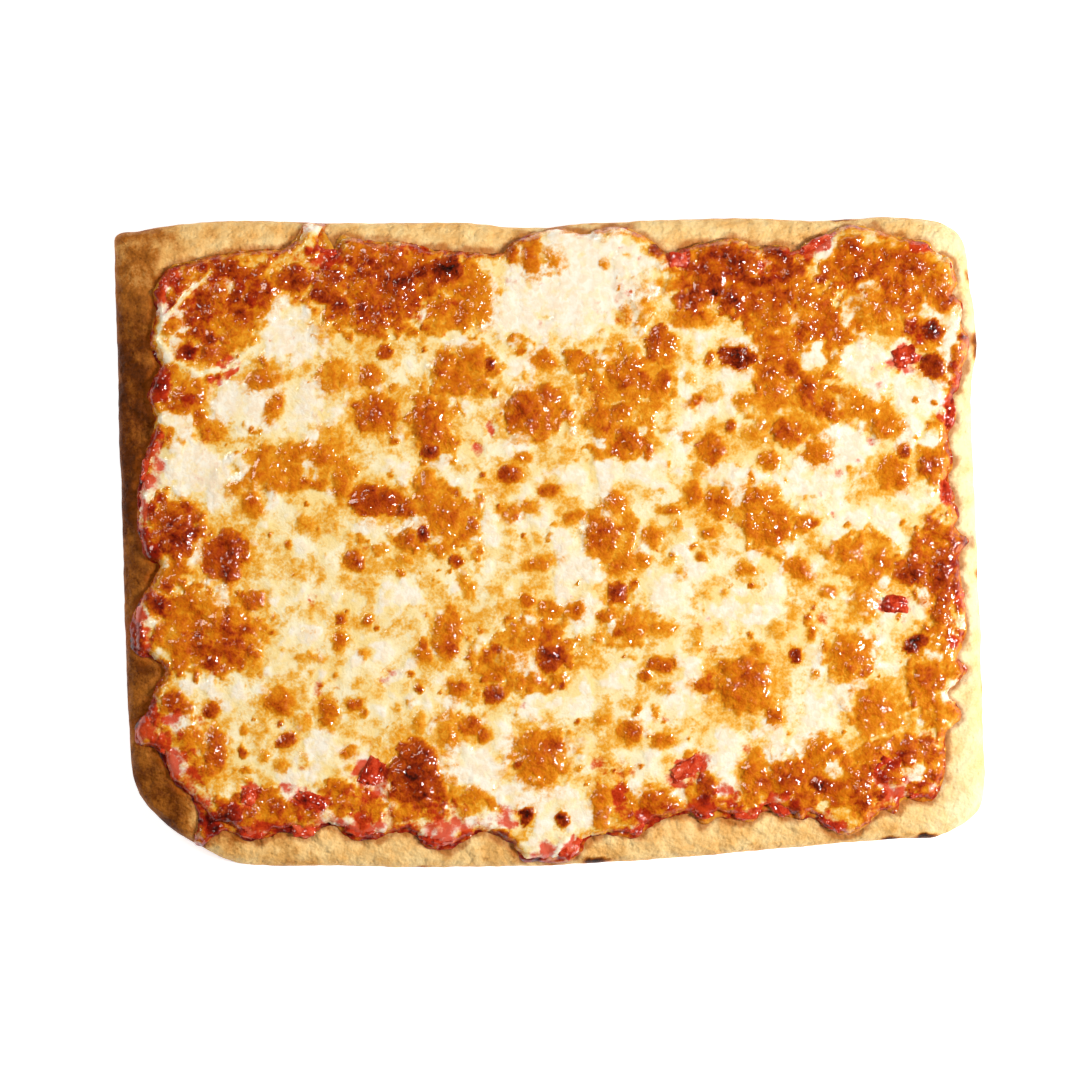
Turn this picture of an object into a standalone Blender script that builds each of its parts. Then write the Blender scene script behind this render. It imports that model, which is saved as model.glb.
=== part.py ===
"""Sheet pizza: a rectangular bread base with tomato sauce, tomato pieces and browned melted cheese.

Run with blender --background --python part.py, or from Blender's text editor.
Lengths are in metres. The layout tables are in millimetres on the pizza's plan, and MM scales them.
+X runs along the long side, +Y along the short side and +Z up. The origin is on the surface that the
pizza lies on, under the middle of its outline.
"""

import math
import random

import bmesh
import bpy
import numpy as np
from mathutils import Vector, noise
from mathutils.geometry import delaunay_2d_cdt

MM = 0.001

# Heights of the stacked layers
BED_HEIGHT = 16.0 * MM  # top of the bread under the sauce
RIM_RISE = 1.5 * MM  # how far the bread puffs up outside the sauce
FIT_GAP = 0.3 * MM  # air between two solids
SAUCE_THICKNESS = 1.7 * MM
SEAT_THICKNESS = 1.0 * MM  # the sauce, or the cheese, under a tomato piece
CHEESE_LIP = 1.3 * MM  # thickness of the cheese at its edge
CHEESE_THICKNESS = 3.1 * MM
CHEESE_ROUNDING = 4.5 * MM  # width over which the edge thickens
PATCH_RISE = 0.9 * MM  # a browned patch, plus PATCH_SWELL of its half width
PATCH_SWELL = 0.13

SAUCE_BOTTOM = BED_HEIGHT + FIT_GAP
SAUCE_TOP = SAUCE_BOTTOM + SAUCE_THICKNESS
CHEESE_BOTTOM = SAUCE_TOP + FIT_GAP
SAUCE_SEAT = SAUCE_BOTTOM + SEAT_THICKNESS
CHEESE_SEAT = CHEESE_BOTTOM + SEAT_THICKNESS

# The bread's side: how far each level lies inside the outline, and its height, from the shoulder down
SHOULDER_INSET = 3.2 * MM
BREAD_SIDE = (
    (0.7 * MM, 13.4 * MM),
    (0.0, 9.0 * MM),
    (0.6 * MM, 4.4 * MM),
    (2.0 * MM, 1.3 * MM),
    (4.2 * MM, 0.0),
)
SPILL_LIMIT = 4.8 * MM  # the sauce stays this far inside the bread's outline

# Where the sauce shows outside the cheese: a width all round, and more on the bottom and left sides
SAUCE_SHOWS = 1.6 * MM
SAUCE_SHOWS_BOTTOM = 3.4 * MM
SAUCE_SHOWS_LEFT = 2.4 * MM
SAUCE_LEAST = 2.0 * MM
EDGE_WANDER = 1.3 * MM  # irregularity of the sauce's and the cheese's edges
BED_MARGIN = 0.7 * MM  # flat bread round the sauce, and flat sauce round the cheese
PIECE_CLEARANCE = 1.2 * MM  # between a tomato piece and the cheese, or the sauce's edge
SEAT_MARGIN = 1.5 * MM  # how far the flat seat reaches round a tomato piece

# Spacing of the points that each surface is made from
BREAD_SPACING = 8.4 * MM
RIM_SPACING = 6.4 * MM
SAUCE_EDGE_SPACING = 4.6 * MM
SAUCE_SPACING = 5.2 * MM
CHEESE_EDGE_SPACING = 3.9 * MM
CHEESE_SPACING = 6.9 * MM

# The bread's outline, clockwise from the top left corner (mm)
BREAD_OUTLINE = (
    (-203, 137), (-202.6, 142.6), (-200.5, 144.3), (-191, 145.4), (-170, 148.8), (-140, 150.3),
    (-100, 149), (-40, 149.2), (-9, 147), (30, 149.6), (92, 151.3), (130, 150.3), (160, 152),
    (184, 149), (193, 142), (197, 120), (200.3, 92), (197.8, 70), (200.3, 0), (203, -80),
    (202.6, -122), (196, -130.5), (180, -138), (165, -138.8), (130, -141.5), (60, -147.6),
    (0, -151.3), (-60, -152.2), (-105, -151.2), (-134, -151.2), (-150, -148.4), (-182, -129.5),
    (-193, -114), (-196, -90), (-199.8, 20), (-202, 95),
)  # fmt: skip

# The edge of the toppings, in the same order (mm)
TOPPING_OUTLINE = (
    (-183, 110), (-179, 124), (-165, 130.5), (-140, 133.5), (-112, 137), (-86, 140), (-62, 138),
    (-40, 134.5), (-24, 136), (-6, 144), (14, 146), (38, 146), (54, 138), (74, 138.5), (94, 139.5),
    (112, 136), (134, 143.5), (156, 143.5), (174, 139.5), (186, 130), (190, 112), (193, 96),
    (190, 74), (188, 50), (189, 22), (192, 0), (193, -30), (192, -60), (190, -82), (185, -104),
    (178, -118.5), (160, -122), (148, -131), (132, -132.5), (114, -128), (92, -129), (66, -130),
    (40, -135.5), (14, -143), (-4, -146), (-18, -141), (-36, -138), (-54, -141.5), (-74, -135),
    (-96, -134.5), (-120, -137), (-142, -138), (-158, -132), (-172, -117), (-181, -101),
    (-187, -84), (-186, -62), (-192, -42), (-188, -20), (-186, 0), (-189, 24), (-186, 48),
    (-186, 72), (-184, 92),
)  # fmt: skip

# Where sauce has run out over the rim: x, y, reach and half width (mm)
SPILLS = (
    (-109, 138, 8, 6), (145, 144, 3, 12), (192, 96, 3, 5), (193, 1, 3, 5), (193, -60, 2, 6),
    (191, -79, 3, 6), (162, -122, 4, 4), (132, -132, 3, 12), (-50, -141, 3, 9), (-87, -135, 3, 9),
    (-160, -131, 9, 6), (-186, -90, 6, 7), (-192, -42, 3, 10), (-187, 2, 3, 7),
)  # fmt: skip

# Tomato pieces outside the cheese's edge: x, y, half length, half width (mm) and turn (degrees)
EDGE_PIECES = (
    (-103, 132.5, 7, 4, -10), (-174, 120.5, 7, 5.5, 50), (-186.5, 33, 6, 3, 80),
    (-178, -93, 6, 4.5, 100), (-138, -134.5, 6, 3.6, -12), (-114, -133.5, 5.5, 4.2, 0),
    (-88, -132, 7.5, 5, -8), (-52, -136, 7.5, 5.3, 10), (9, -141, 6.5, 5, 60),
    (41, -130.5, 6, 4.2, 75), (72, -124.5, 5, 4.4, 0), (92, -126.5, 6, 2.8, 5),
    (108, -122, 6.2, 4.8, -35), (131, -130, 7, 2.8, -35), (173, -115, 7, 3.4, 18),
    (184.5, 23, 5.5, 3, 95), (186, 59, 6, 3.2, 80), (124, 138, 8.5, 2.8, 28),
    (172, 136.5, 4.5, 2.8, -8), (183, 126.5, 4.5, 4.3, 0),
)  # fmt: skip

# Tomato pieces that stand in the cheese
CHEESE_PIECES = (
    (64, -105.5, 8, 4.2, 30), (-82, -107, 7, 4.6, 60), (-110, -120, 8, 3.6, -18),
    (-139.5, -118.5, 4.6, 3.6, 75), (161, -29, 6.5, 4.4, 0), (156, -105, 6, 4.4, 60),
    (60, 131, 5, 4, 0), (165, 86, 6, 4.6, 20),
)  # fmt: skip
PIECE_HEIGHT = 3.4 * MM
PIECE_SQUARENESS = 0.72  # 1 is an ellipsoid, and less is closer to a diced block
PIECE_ROUGHNESS = 0.16  # unevenness as a share of its size
PIECE_FLOOR = -0.5  # where its flat underside cuts it, as a share of half its height

# The large browned patches of the cheese: x, y, half length, half width (mm) and turn (degrees)
BROWNED = (
    (-113, 120, 11, 8, -25), (-86, 116, 15, 11, 75), (-40, 122, 13, 9, -25), (-80, 60, 12, 10, 10),
    (-43, 76, 15, 8, 60), (-53, 53, 14, 10, 80), (-4, 61, 16, 10, 28), (84, 122, 22, 14, -20),
    (105, 104, 16, 10, 50), (103, 79, 14, 7, 95), (38, 77, 14, 7, -35), (152, 126, 15, 8, 20),
    (152, 106, 12, 9, -60), (148, 62, 18, 7, -28), (-121, 36, 15, 6, 30), (-101, 32, 13, 8, -60),
    (-148, -5, 12, 11, 30), (-156, -44, 22, 16, -20), (-80, 19, 14, 8, -10), (-49, 13, 11, 9, 40),
    (96, 20, 13, 7, -50), (106, 0, 12, 7, -75), (160, -10, 13, 7, -40), (184, -16, 12, 9, 85),
    (140, -55, 12, 9, 0), (0, -53, 11, 8, 60), (-18, -50, 13, 7, 20), (-157, -96, 12, 8, 85),
    (-62, -110, 16, 12, 85), (-2, -100, 13, 12, -40), (90, -68, 14, 12, 60), (116, -110, 12, 8, 0),
    (142, -115, 11, 9, 80),
)  # fmt: skip

# Small blisters strewn between them
BLISTER_SEED = 12
BLISTER_COUNT = 76
BLISTER_SIZES = (4.5 * MM, 8.5 * MM)  # half length
BLISTER_WIDTH = 0.68  # half width as a share of it
BLISTER_MARGIN = 7 * MM  # least depth inside the cheese's edge
BLISTER_SPACING = 9 * MM  # between the middles of two blisters

# Surface colours (red, green, blue, alpha) and roughness
BREAD_FINISH = ((0.76, 0.53, 0.26, 1.0), 0.75)
SAUCE_FINISH = ((0.55, 0.05, 0.01, 1.0), 0.30)
TOMATO_FINISH = ((0.66, 0.05, 0.02, 1.0), 0.28)
CHEESE_FINISH = ((0.93, 0.68, 0.27, 1.0), 0.35)


def smooth_loop(points, spacing):
    """A closed centripetal Catmull-Rom curve through plan points, cut into equal steps (metres)."""
    knots = np.array(points) * MM
    dense = []
    for before, start, end, after in zip(
        np.roll(knots, 1, 0), knots, np.roll(knots, -1, 0), np.roll(knots, -2, 0)
    ):
        gaps = [math.sqrt(np.linalg.norm(b - a)) for a, b in ((before, start), (start, end), (end, after))]
        rise = (start - before) / gaps[0] - (end - before) / (gaps[0] + gaps[1]) + (end - start) / gaps[1]
        fall = (end - start) / gaps[1] - (after - start) / (gaps[1] + gaps[2]) + (after - end) / gaps[2]
        rise, fall = rise * gaps[1], fall * gaps[1]
        for t in np.linspace(0, 1, 12, endpoint=False):
            dense.append(
                start
                + rise * t
                + (3 * (end - start) - 2 * rise - fall) * t**2
                + (2 * (start - end) + rise + fall) * t**3
            )
    return even_steps(np.array(dense), spacing)


def even_steps(loop, spacing):
    """The same closed loop, with its points an equal way apart."""
    closed = np.vstack([loop, loop[:1]])
    along = np.concatenate([[0], np.cumsum(np.linalg.norm(np.diff(closed, axis=0), axis=1))])
    count = max(8, round(along[-1] / spacing))
    at = np.linspace(0, along[-1], count, endpoint=False)
    return np.stack([np.interp(at, along, closed[:, axis]) for axis in (0, 1)], axis=1)


def inward(loop):
    """The unit vector into a clockwise loop at each of its points."""
    run = np.roll(loop, -1, 0) - np.roll(loop, 1, 0)
    run /= np.linalg.norm(run, axis=1)[:, None]
    return np.stack([run[:, 1], -run[:, 0]], axis=1)


def inset(loop, depth):
    """The loop moved inward by a depth, which is one number or one for each point."""
    return loop + inward(loop) * np.reshape(depth, (-1, 1))


def depth_inside(loop, point):
    """How far a point lies inside the loop, and less than 0 outside it."""
    start, end = loop, np.roll(loop, -1, 0)
    side = end - start
    share = np.clip(((point - start) * side).sum(1) / (side**2).sum(1), 0, 1)
    away = np.linalg.norm(start + side * share[:, None] - point, axis=1).min()
    spans = (start[:, 1] > point[1]) != (end[:, 1] > point[1])
    rise = np.where(spans, side[:, 1], 1.0)
    crossing = start[:, 0] + (point[1] - start[:, 1]) / rise * side[:, 0]
    inside = np.count_nonzero(spans & (crossing > point[0])) % 2
    return away if inside else -away


def wander(point, size, seed):
    """Smooth unevenness from -1 to 1 over the plan, with features of that size."""
    return noise.noise(Vector((point[0] / size, point[1] / size, seed)))


def in_ellipse(point, ellipse, margin=0.0):
    """A point's place in a turned ellipse widened by a margin: 0 at its middle and 1 at its edge."""
    x, y, length, width, turn = ellipse
    turn = math.radians(turn)
    dx, dy = point[0] - x * MM, point[1] - y * MM
    along = dx * math.cos(turn) + dy * math.sin(turn)
    across = dy * math.cos(turn) - dx * math.sin(turn)
    return math.hypot(along / (length * MM + margin), across / (width * MM + margin))


def settled(loop, spacing, misfit, direction):
    """The loop moved until no point has a misfit, inward where direction is 1 and outward at -1."""
    step = 0.3 * MM
    for _ in range(4):
        ways = inward(loop) * direction
        for i, way in enumerate(ways):
            for _ in range(80):
                if not misfit(loop[i]):
                    break
                loop[i] += way * step
        loop = even_steps(loop, spacing)
    return loop


def near_piece(point, pieces, clearance):
    """Whether a point is in or by one of these tomato pieces."""
    return min(in_ellipse(point, piece, clearance) for piece in pieces) < 1


def sauce_edge():
    """The outline of the sauce: the toppings' edge with spills, all round the tomato pieces."""
    loop = smooth_loop(TOPPING_OUTLINE, SAUCE_EDGE_SPACING)
    reach = np.array([EDGE_WANDER * (1 + wander(p, 9 * MM, 3)) for p in loop])
    for x, y, length, half_width in SPILLS:
        away = np.linalg.norm(loop - np.array((x, y)) * MM, axis=1) / (half_width * MM)
        reach += length * MM * np.exp(-(away**2))
    loop = inset(loop, -reach)
    loop = settled(loop, SAUCE_EDGE_SPACING, lambda p: near_piece(p, EDGE_PIECES, PIECE_CLEARANCE), -1)
    bread = smooth_loop(BREAD_OUTLINE, BREAD_SPACING)
    return settled(loop, SAUCE_EDGE_SPACING, lambda p: depth_inside(bread, p) < SPILL_LIMIT, 1)


def cheese_edge(sauce):
    """The outline of the cheese: inside the sauce's edge, and drawn back from the tomato pieces."""
    loop = smooth_loop(TOPPING_OUTLINE, CHEESE_EDGE_SPACING)
    ways = inward(loop)
    shows = SAUCE_SHOWS + SAUCE_SHOWS_BOTTOM * np.maximum(ways[:, 1], 0)
    shows += SAUCE_SHOWS_LEFT * np.maximum(ways[:, 0], 0)
    shows += np.array([EDGE_WANDER * wander(p, 8 * MM, 7) for p in loop])

    def too_far_out(point):
        return near_piece(point, EDGE_PIECES, PIECE_CLEARANCE) or depth_inside(sauce, point) < SAUCE_LEAST

    return settled(inset(loop, shows), CHEESE_EDGE_SPACING, too_far_out, 1)


def rim_height(bed):
    """A function of the bread's height: flat inside bed, and puffed up between it and the shoulder."""

    def height(point):
        outside = -depth_inside(bed, point)
        if outside <= 0.1 * MM:
            return BED_HEIGHT
        puff = min(outside / (7 * MM), 1.0)
        return BED_HEIGHT + RIM_RISE * puff * (0.75 + 0.6 * wander(point, 22 * MM, 11))

    return height


def sauce_height(flat):
    """A function of the sauce's top: flat under the cheese and the tomato pieces, lumpy where it shows."""

    def height(point):
        if near_piece(point, EDGE_PIECES, SEAT_MARGIN):
            return SAUCE_SEAT
        outside = -depth_inside(flat, point)
        if outside <= 0.1 * MM:
            return SAUCE_TOP
        lump = 0.7 * MM * wander(point, 6 * MM, 17)
        return SAUCE_TOP - 0.5 * MM + lump * min(outside / (2 * MM), 1.0)

    return height


def browned_patches(edge):
    """The large browned patches, and small blisters at random places between them."""
    chance = random.Random(BLISTER_SEED)
    low, high = edge.min(0), edge.max(0)
    patches = list(BROWNED)
    while len(patches) < len(BROWNED) + BLISTER_COUNT:
        point = np.array([chance.uniform(low[axis], high[axis]) for axis in (0, 1)])
        if depth_inside(edge, point) < BLISTER_MARGIN:
            continue
        strewn = [np.array(patch[:2]) * MM for patch in patches[len(BROWNED):]]
        if any(np.linalg.norm(other - point) < BLISTER_SPACING for other in strewn):
            continue
        if min(in_ellipse(point, patch) for patch in BROWNED) < 1:
            continue
        length = chance.uniform(*BLISTER_SIZES) / MM
        patches.append((*(point / MM), length, length * BLISTER_WIDTH, chance.uniform(0, 180)))
    return patches


def browned_rise(point, patches):
    """How far the browned patches lift the cheese at a point."""
    rise = 0.0
    for patch in patches:
        share = in_ellipse(point, patch)
        if share < 1:
            full = PATCH_RISE + PATCH_SWELL * patch[3] * MM
            rise = max(rise, full * (1 - share**2) ** 0.6)
    return rise


def cheese_height(edge, patches):
    """A function of the cheese's top: rounded at its edge, with blisters and a gentle roll."""

    def height(point):
        if near_piece(point, CHEESE_PIECES, SEAT_MARGIN):
            return CHEESE_SEAT
        share = min(max(depth_inside(edge, point), 0) / CHEESE_ROUNDING, 1.0)
        rounded = math.sqrt(1 - (1 - share) ** 2)
        body = CHEESE_THICKNESS - CHEESE_LIP + browned_rise(point, patches)
        body += 0.55 * MM * wander(point, 26 * MM, 23) + 0.25 * MM * wander(point, 9 * MM, 29)
        return CHEESE_BOTTOM + CHEESE_LIP + body * rounded

    return height


NO_POINTS = np.empty((0, 2))


def lattice(spacing, loop):
    """Points in staggered rows over the loop's box."""
    low, high = loop.min(0), loop.max(0)
    rows = int((high[1] - low[1]) / (spacing * math.sin(math.radians(60))))
    for row in range(rows + 1):
        y = low[1] + row * spacing * math.sin(math.radians(60))
        shift = spacing / 2 * (row % 2)
        for column in range(int((high[0] - low[0]) / spacing) + 1):
            yield np.array((low[0] + shift + column * spacing, y))


def around(ellipse, share, count, margin=0.0):
    """Points round a turned ellipse, at a share of its size widened by a margin."""
    x, y, length, width, turn = ellipse
    turn = math.radians(turn)
    for step in range(count):
        angle = math.tau * (step + 0.5) / count
        along = (length * MM * share + margin) * math.cos(angle)
        across = (width * MM * share + margin) * math.sin(angle)
        yield np.array(
            (
                x * MM + along * math.cos(turn) - across * math.sin(turn),
                y * MM + along * math.sin(turn) + across * math.cos(turn),
            )
        )


def seat_points(pieces):
    """Points just inside the edge of each piece's flat seat."""
    return [p for piece in pieces for p in around(piece, 1.0, 10, SEAT_MARGIN - 0.2 * MM)]


def thinned(candidates, loop, holes, clear, apart, kept=NO_POINTS):
    """kept, and the candidates inside loop and outside holes that stand apart from all the others."""
    for point in candidates:
        if depth_inside(loop, point) < clear or any(depth_inside(h, point) > -clear for h in holes):
            continue
        if len(kept) and (np.linalg.norm(kept - point, axis=1) < apart).any():
            continue
        kept = np.vstack([kept, point])
    return kept


def sheet_solid(name, border, creases, points, top, rings, finish):
    """A solid: a triangulated top inside border, walls through the rings below it, and a flat underside.

    creases are closed loops that the top's edges follow. rings are (loop, height), each as long as border.
    """
    loops = [border, *creases]
    edges, first = [], 0
    for loop in loops:
        count = len(loop)
        edges += [(first + i, first + (i + 1) % count) for i in range(count)]
        first += count
    plan = [Vector(p) for p in np.vstack([*loops, points])]
    outer = list(range(len(border)))[::-1]  # a face of the plan runs anticlockwise
    verts, _, triangles, sources, _, _ = delaunay_2d_cdt(plan, edges, [outer], 1, 1e-7)

    bm = bmesh.new()
    surface = [bm.verts.new((v.x, v.y, top(np.array(v)))) for v in verts]
    made_from = {old: new for new, olds in enumerate(sources) for old in olds}
    for corners in triangles:
        bm.faces.new([surface[i] for i in corners])
    upper = [surface[made_from[i]] for i in range(len(border))]
    for loop, height in rings:
        lower = [bm.verts.new((x, y, height)) for x, y in loop]
        for i, j in zip(range(len(upper)), [*range(1, len(upper)), 0]):
            bm.faces.new((upper[i], upper[j], lower[j], lower[i]))
        upper = lower
    bm.faces.new(upper)
    bmesh.ops.recalc_face_normals(bm, faces=bm.faces)
    mesh = bpy.data.meshes.new(name)
    bm.to_mesh(mesh)
    bm.free()
    mesh.shade_smooth()
    mesh.set_sharp_from_angle(angle=math.radians(50))
    return placed(bpy.data.objects.new(name, mesh), finish)


def placed(obj, finish):
    """Puts an object in the pizza's collection, on the pizza's empty, with its material."""
    pizza.objects.link(obj)
    obj.parent = centre
    obj.data.materials.append(finish)
    return obj


def finish_of(name, look):
    """A material with a base colour and a roughness."""
    colour, roughness = look
    material = bpy.data.materials.new(name)
    material.use_nodes = True
    shader = material.node_tree.nodes["Principled BSDF"]
    shader.inputs["Base Color"].default_value = colour
    shader.inputs["Roughness"].default_value = roughness
    shader.inputs["Metallic"].default_value = 0.0
    return material


def make_bread(sauce):
    """The bread base, flat under the sauce and puffed up round it."""
    outline = smooth_loop(BREAD_OUTLINE, BREAD_SPACING)
    shoulder = inset(outline, SHOULDER_INSET)
    bed = inset(sauce, -BED_MARGIN)
    rim = thinned(lattice(RIM_SPACING, outline), shoulder, [bed], 2.2 * MM, 4 * MM)
    rings = [(inset(outline, depth), height) for depth, height in BREAD_SIDE]
    finish = finish_of("bread", BREAD_FINISH)
    return sheet_solid("bread_base", shoulder, [bed], rim, rim_height(bed), rings, finish)


def make_sauce(sauce, cheese):
    """The tomato sauce: it runs through under the cheese, and shows in lumps round it."""
    flat = inset(cheese, -BED_MARGIN)
    candidates = [*seat_points(EDGE_PIECES), *lattice(SAUCE_SPACING, sauce)]
    shows = thinned(candidates, sauce, [flat], 0.8 * MM, 1.8 * MM)
    rings = [(sauce + inward(sauce) * 0.1 * MM, SAUCE_BOTTOM)]
    finish = finish_of("sauce", SAUCE_FINISH)
    return sheet_solid("tomato_sauce", sauce, [flat], shows, sauce_height(flat), rings, finish)


def make_cheese(cheese):
    """The melted cheese, with a rounded edge and raised browned patches."""
    patches = browned_patches(cheese)
    domes = [p for patch in patches for p in around(patch, 0.0, 1)]
    domes += [p for patch in patches for p in around(patch, 0.94, 6 + 2 * (patch[2] > 7))]
    domes += [p for patch in patches if patch[2] > 7 for p in around(patch, 0.55, 5)]
    rounding = [*inset(cheese, 1.3 * MM), *inset(cheese, CHEESE_ROUNDING)[::2]]
    candidates = [*rounding, *domes, *lattice(CHEESE_SPACING, cheese)]
    seats = np.array(seat_points(CHEESE_PIECES))
    points = thinned(candidates, cheese, [], 1.0 * MM, 3.3 * MM, seats)
    rings = [(cheese + inward(cheese) * 0.25 * MM, CHEESE_BOTTOM)]
    finish = finish_of("cheese", CHEESE_FINISH)
    return sheet_solid("melted_cheese", cheese, [], points, cheese_height(cheese, patches), rings, finish)


def make_tomato_piece(number, piece, seat, finish):
    """One diced tomato piece: an uneven rounded block with a flat underside, just over its seat."""
    x, y, length, width, turn = piece
    name = f"tomato_piece_{number:02d}"
    bm = bmesh.new()
    bmesh.ops.create_icosphere(bm, subdivisions=2, radius=1)
    half = Vector((length * MM, width * MM, PIECE_HEIGHT / 2))
    for vertex in bm.verts:
        block = [math.copysign(abs(c) ** PIECE_SQUARENESS, c) for c in vertex.co]
        uneven = 1 + PIECE_ROUGHNESS * (noise.noise(vertex.co * 1.4 + Vector((number * 7, 0, 0))) - 0.5)
        block[2] = max(block[2], PIECE_FLOOR)
        vertex.co = Vector(c * uneven * h for c, h in zip(block, half))
    base = min(vertex.co.z for vertex in bm.verts)
    for vertex in bm.verts:
        if vertex.co.z < base + 0.35 * MM:
            vertex.co.z = base
    mesh = bpy.data.meshes.new(name)
    bm.to_mesh(mesh)
    bm.free()
    mesh.shade_smooth()
    obj = placed(bpy.data.objects.new(name, mesh), finish)
    obj.location = (x * MM, y * MM, seat + FIT_GAP - base)
    obj.rotation_euler.z = math.radians(turn)


for old in list(bpy.data.objects):
    bpy.data.objects.remove(old)

pizza = bpy.data.collections.new("sheet_pizza")
bpy.context.scene.collection.children.link(pizza)
centre = bpy.data.objects.new("pizza_centre", None)
pizza.objects.link(centre)
outer = smooth_loop(BREAD_OUTLINE, BREAD_SPACING)
middle = (outer.min(0) + outer.max(0)) / 2
centre.location = (-middle[0], -middle[1], 0)

sauce_loop = sauce_edge()
cheese_loop = cheese_edge(sauce_loop)
make_bread(sauce_loop)
make_sauce(sauce_loop, cheese_loop)
make_cheese(cheese_loop)
tomato = finish_of("tomato", TOMATO_FINISH)
seated = [(piece, SAUCE_SEAT) for piece in EDGE_PIECES] + [(piece, CHEESE_SEAT) for piece in CHEESE_PIECES]
for number, (piece, seat) in enumerate(seated, 1):
    make_tomato_piece(number, piece, seat, tomato)
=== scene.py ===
"""The looks of the sheet pizza: baked bread, tomato sauce, browned melted cheese and tomato pieces.

Lengths are in metres in the settings and the meshes. Places and sizes in the layout tables and in the
shaping functions are in millimetres on the pizza's plan, seen from straight above, and MM scales them.
"""

import math
from itertools import product
from typing import NamedTuple

import bpy
import numpy as np
from bpy.props import FloatProperty, FloatVectorProperty, IntProperty, PointerProperty
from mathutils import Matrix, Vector


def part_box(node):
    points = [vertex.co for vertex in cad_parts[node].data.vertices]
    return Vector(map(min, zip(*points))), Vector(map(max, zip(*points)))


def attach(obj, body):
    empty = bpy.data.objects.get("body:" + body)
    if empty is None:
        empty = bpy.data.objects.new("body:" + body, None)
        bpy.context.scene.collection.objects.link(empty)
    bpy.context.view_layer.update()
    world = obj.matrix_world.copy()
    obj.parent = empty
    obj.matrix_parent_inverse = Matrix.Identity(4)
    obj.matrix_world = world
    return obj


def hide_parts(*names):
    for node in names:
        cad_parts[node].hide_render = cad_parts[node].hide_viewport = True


bl_info = {
    "name": "Sheet Pizza",
    "version": (1, 0, 0),
    "blender": (4, 5, 0),
    "location": "3D View > Sidebar > Pizza",
    "description": "Bakes a sheet pizza: bread, sauce, browned cheese and tomato pieces",
    "category": "Add Mesh",
}

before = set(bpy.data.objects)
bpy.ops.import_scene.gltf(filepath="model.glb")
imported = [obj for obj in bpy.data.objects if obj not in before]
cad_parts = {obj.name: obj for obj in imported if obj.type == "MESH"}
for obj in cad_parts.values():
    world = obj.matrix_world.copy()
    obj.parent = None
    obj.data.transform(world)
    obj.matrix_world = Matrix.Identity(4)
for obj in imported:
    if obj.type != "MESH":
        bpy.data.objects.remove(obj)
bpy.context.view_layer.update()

MM = 0.001

# Where small spots and flecks are strewn, along x and along y
STREWN_X = (-188, 192)
STREWN_Y = (-138, 144)

# The cheese's grid, along x and along y
GRID_X = (-198, 199)
GRID_Y = (-152, 151)

# How high the cheese is over the bread, how far its wall goes on below that, and how thick its rim is
CHEESE_LIFT = 1.7
CHEESE_WALL = 0.3
CHEESE_LIP = 0.45

# How far a tomato piece reaches below its solid
TOMATO_SINK = 0.5

# Refraction of the oil on sauce, cheese and tomato
OIL_IOR = 1.65

# The floor, in metres: half its width, and how far it lies below the pizza
FLOOR_HALF = 3.0
FLOOR_GAP = 0.0002


class Patch(NamedTuple):
    """An ellipse on the plan: middle, half length, half width, strength, and turn in degrees."""

    x: float
    y: float
    length: float
    width: float
    strength: float
    turn: float = 0.0


def patches(*rows):
    """The rows as patches. Each gives the strength in hundredths, and a turn only where it has one."""
    return [Patch(*row[:4], row[4] / 100, *row[5:]) for row in rows]


# The bread's outline, clockwise from the top left corner
BREAD_OUTLINE = (
    (-203, 137), (-202.6, 142.6), (-200.5, 144.3), (-191, 145.4), (-170, 148.8), (-140, 150.3), (-100, 149),
    (-40, 149.2), (-9, 147), (30, 149.6), (92, 151.3), (130, 150.3), (160, 152), (184, 149), (193, 142),
    (197, 120), (200.3, 92), (197.8, 70), (200.3, 0), (203, -80), (202.6, -122), (196, -130.5), (180, -138),
    (165, -138.8), (130, -141.5), (60, -147.6), (0, -151.3), (-60, -152.2), (-105, -151.2), (-134, -151.2),
    (-150, -148.4), (-182, -129.5), (-193, -114), (-196, -90), (-199.8, 20), (-202, 95),
)  # fmt: skip

# The bread's side, from the underside up and in: how far inside the outline, and the height
BREAD_PROFILE = (
    (9.0, 0.0), (5.0, 0.05), (2.6, 0.9), (1.0, 2.6), (0.2, 5.0), (0.0, 7.4), (0.5, 9.9), (1.7, 12.0),
    (3.5, 13.6), (6.0, 14.7), (9.0, 15.5), (12.5, 15.9), (17.0, 16.0), (26.0, 16.0),
)  # fmt: skip
WIDEST = 5  # the row of it where the bread is widest

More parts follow.
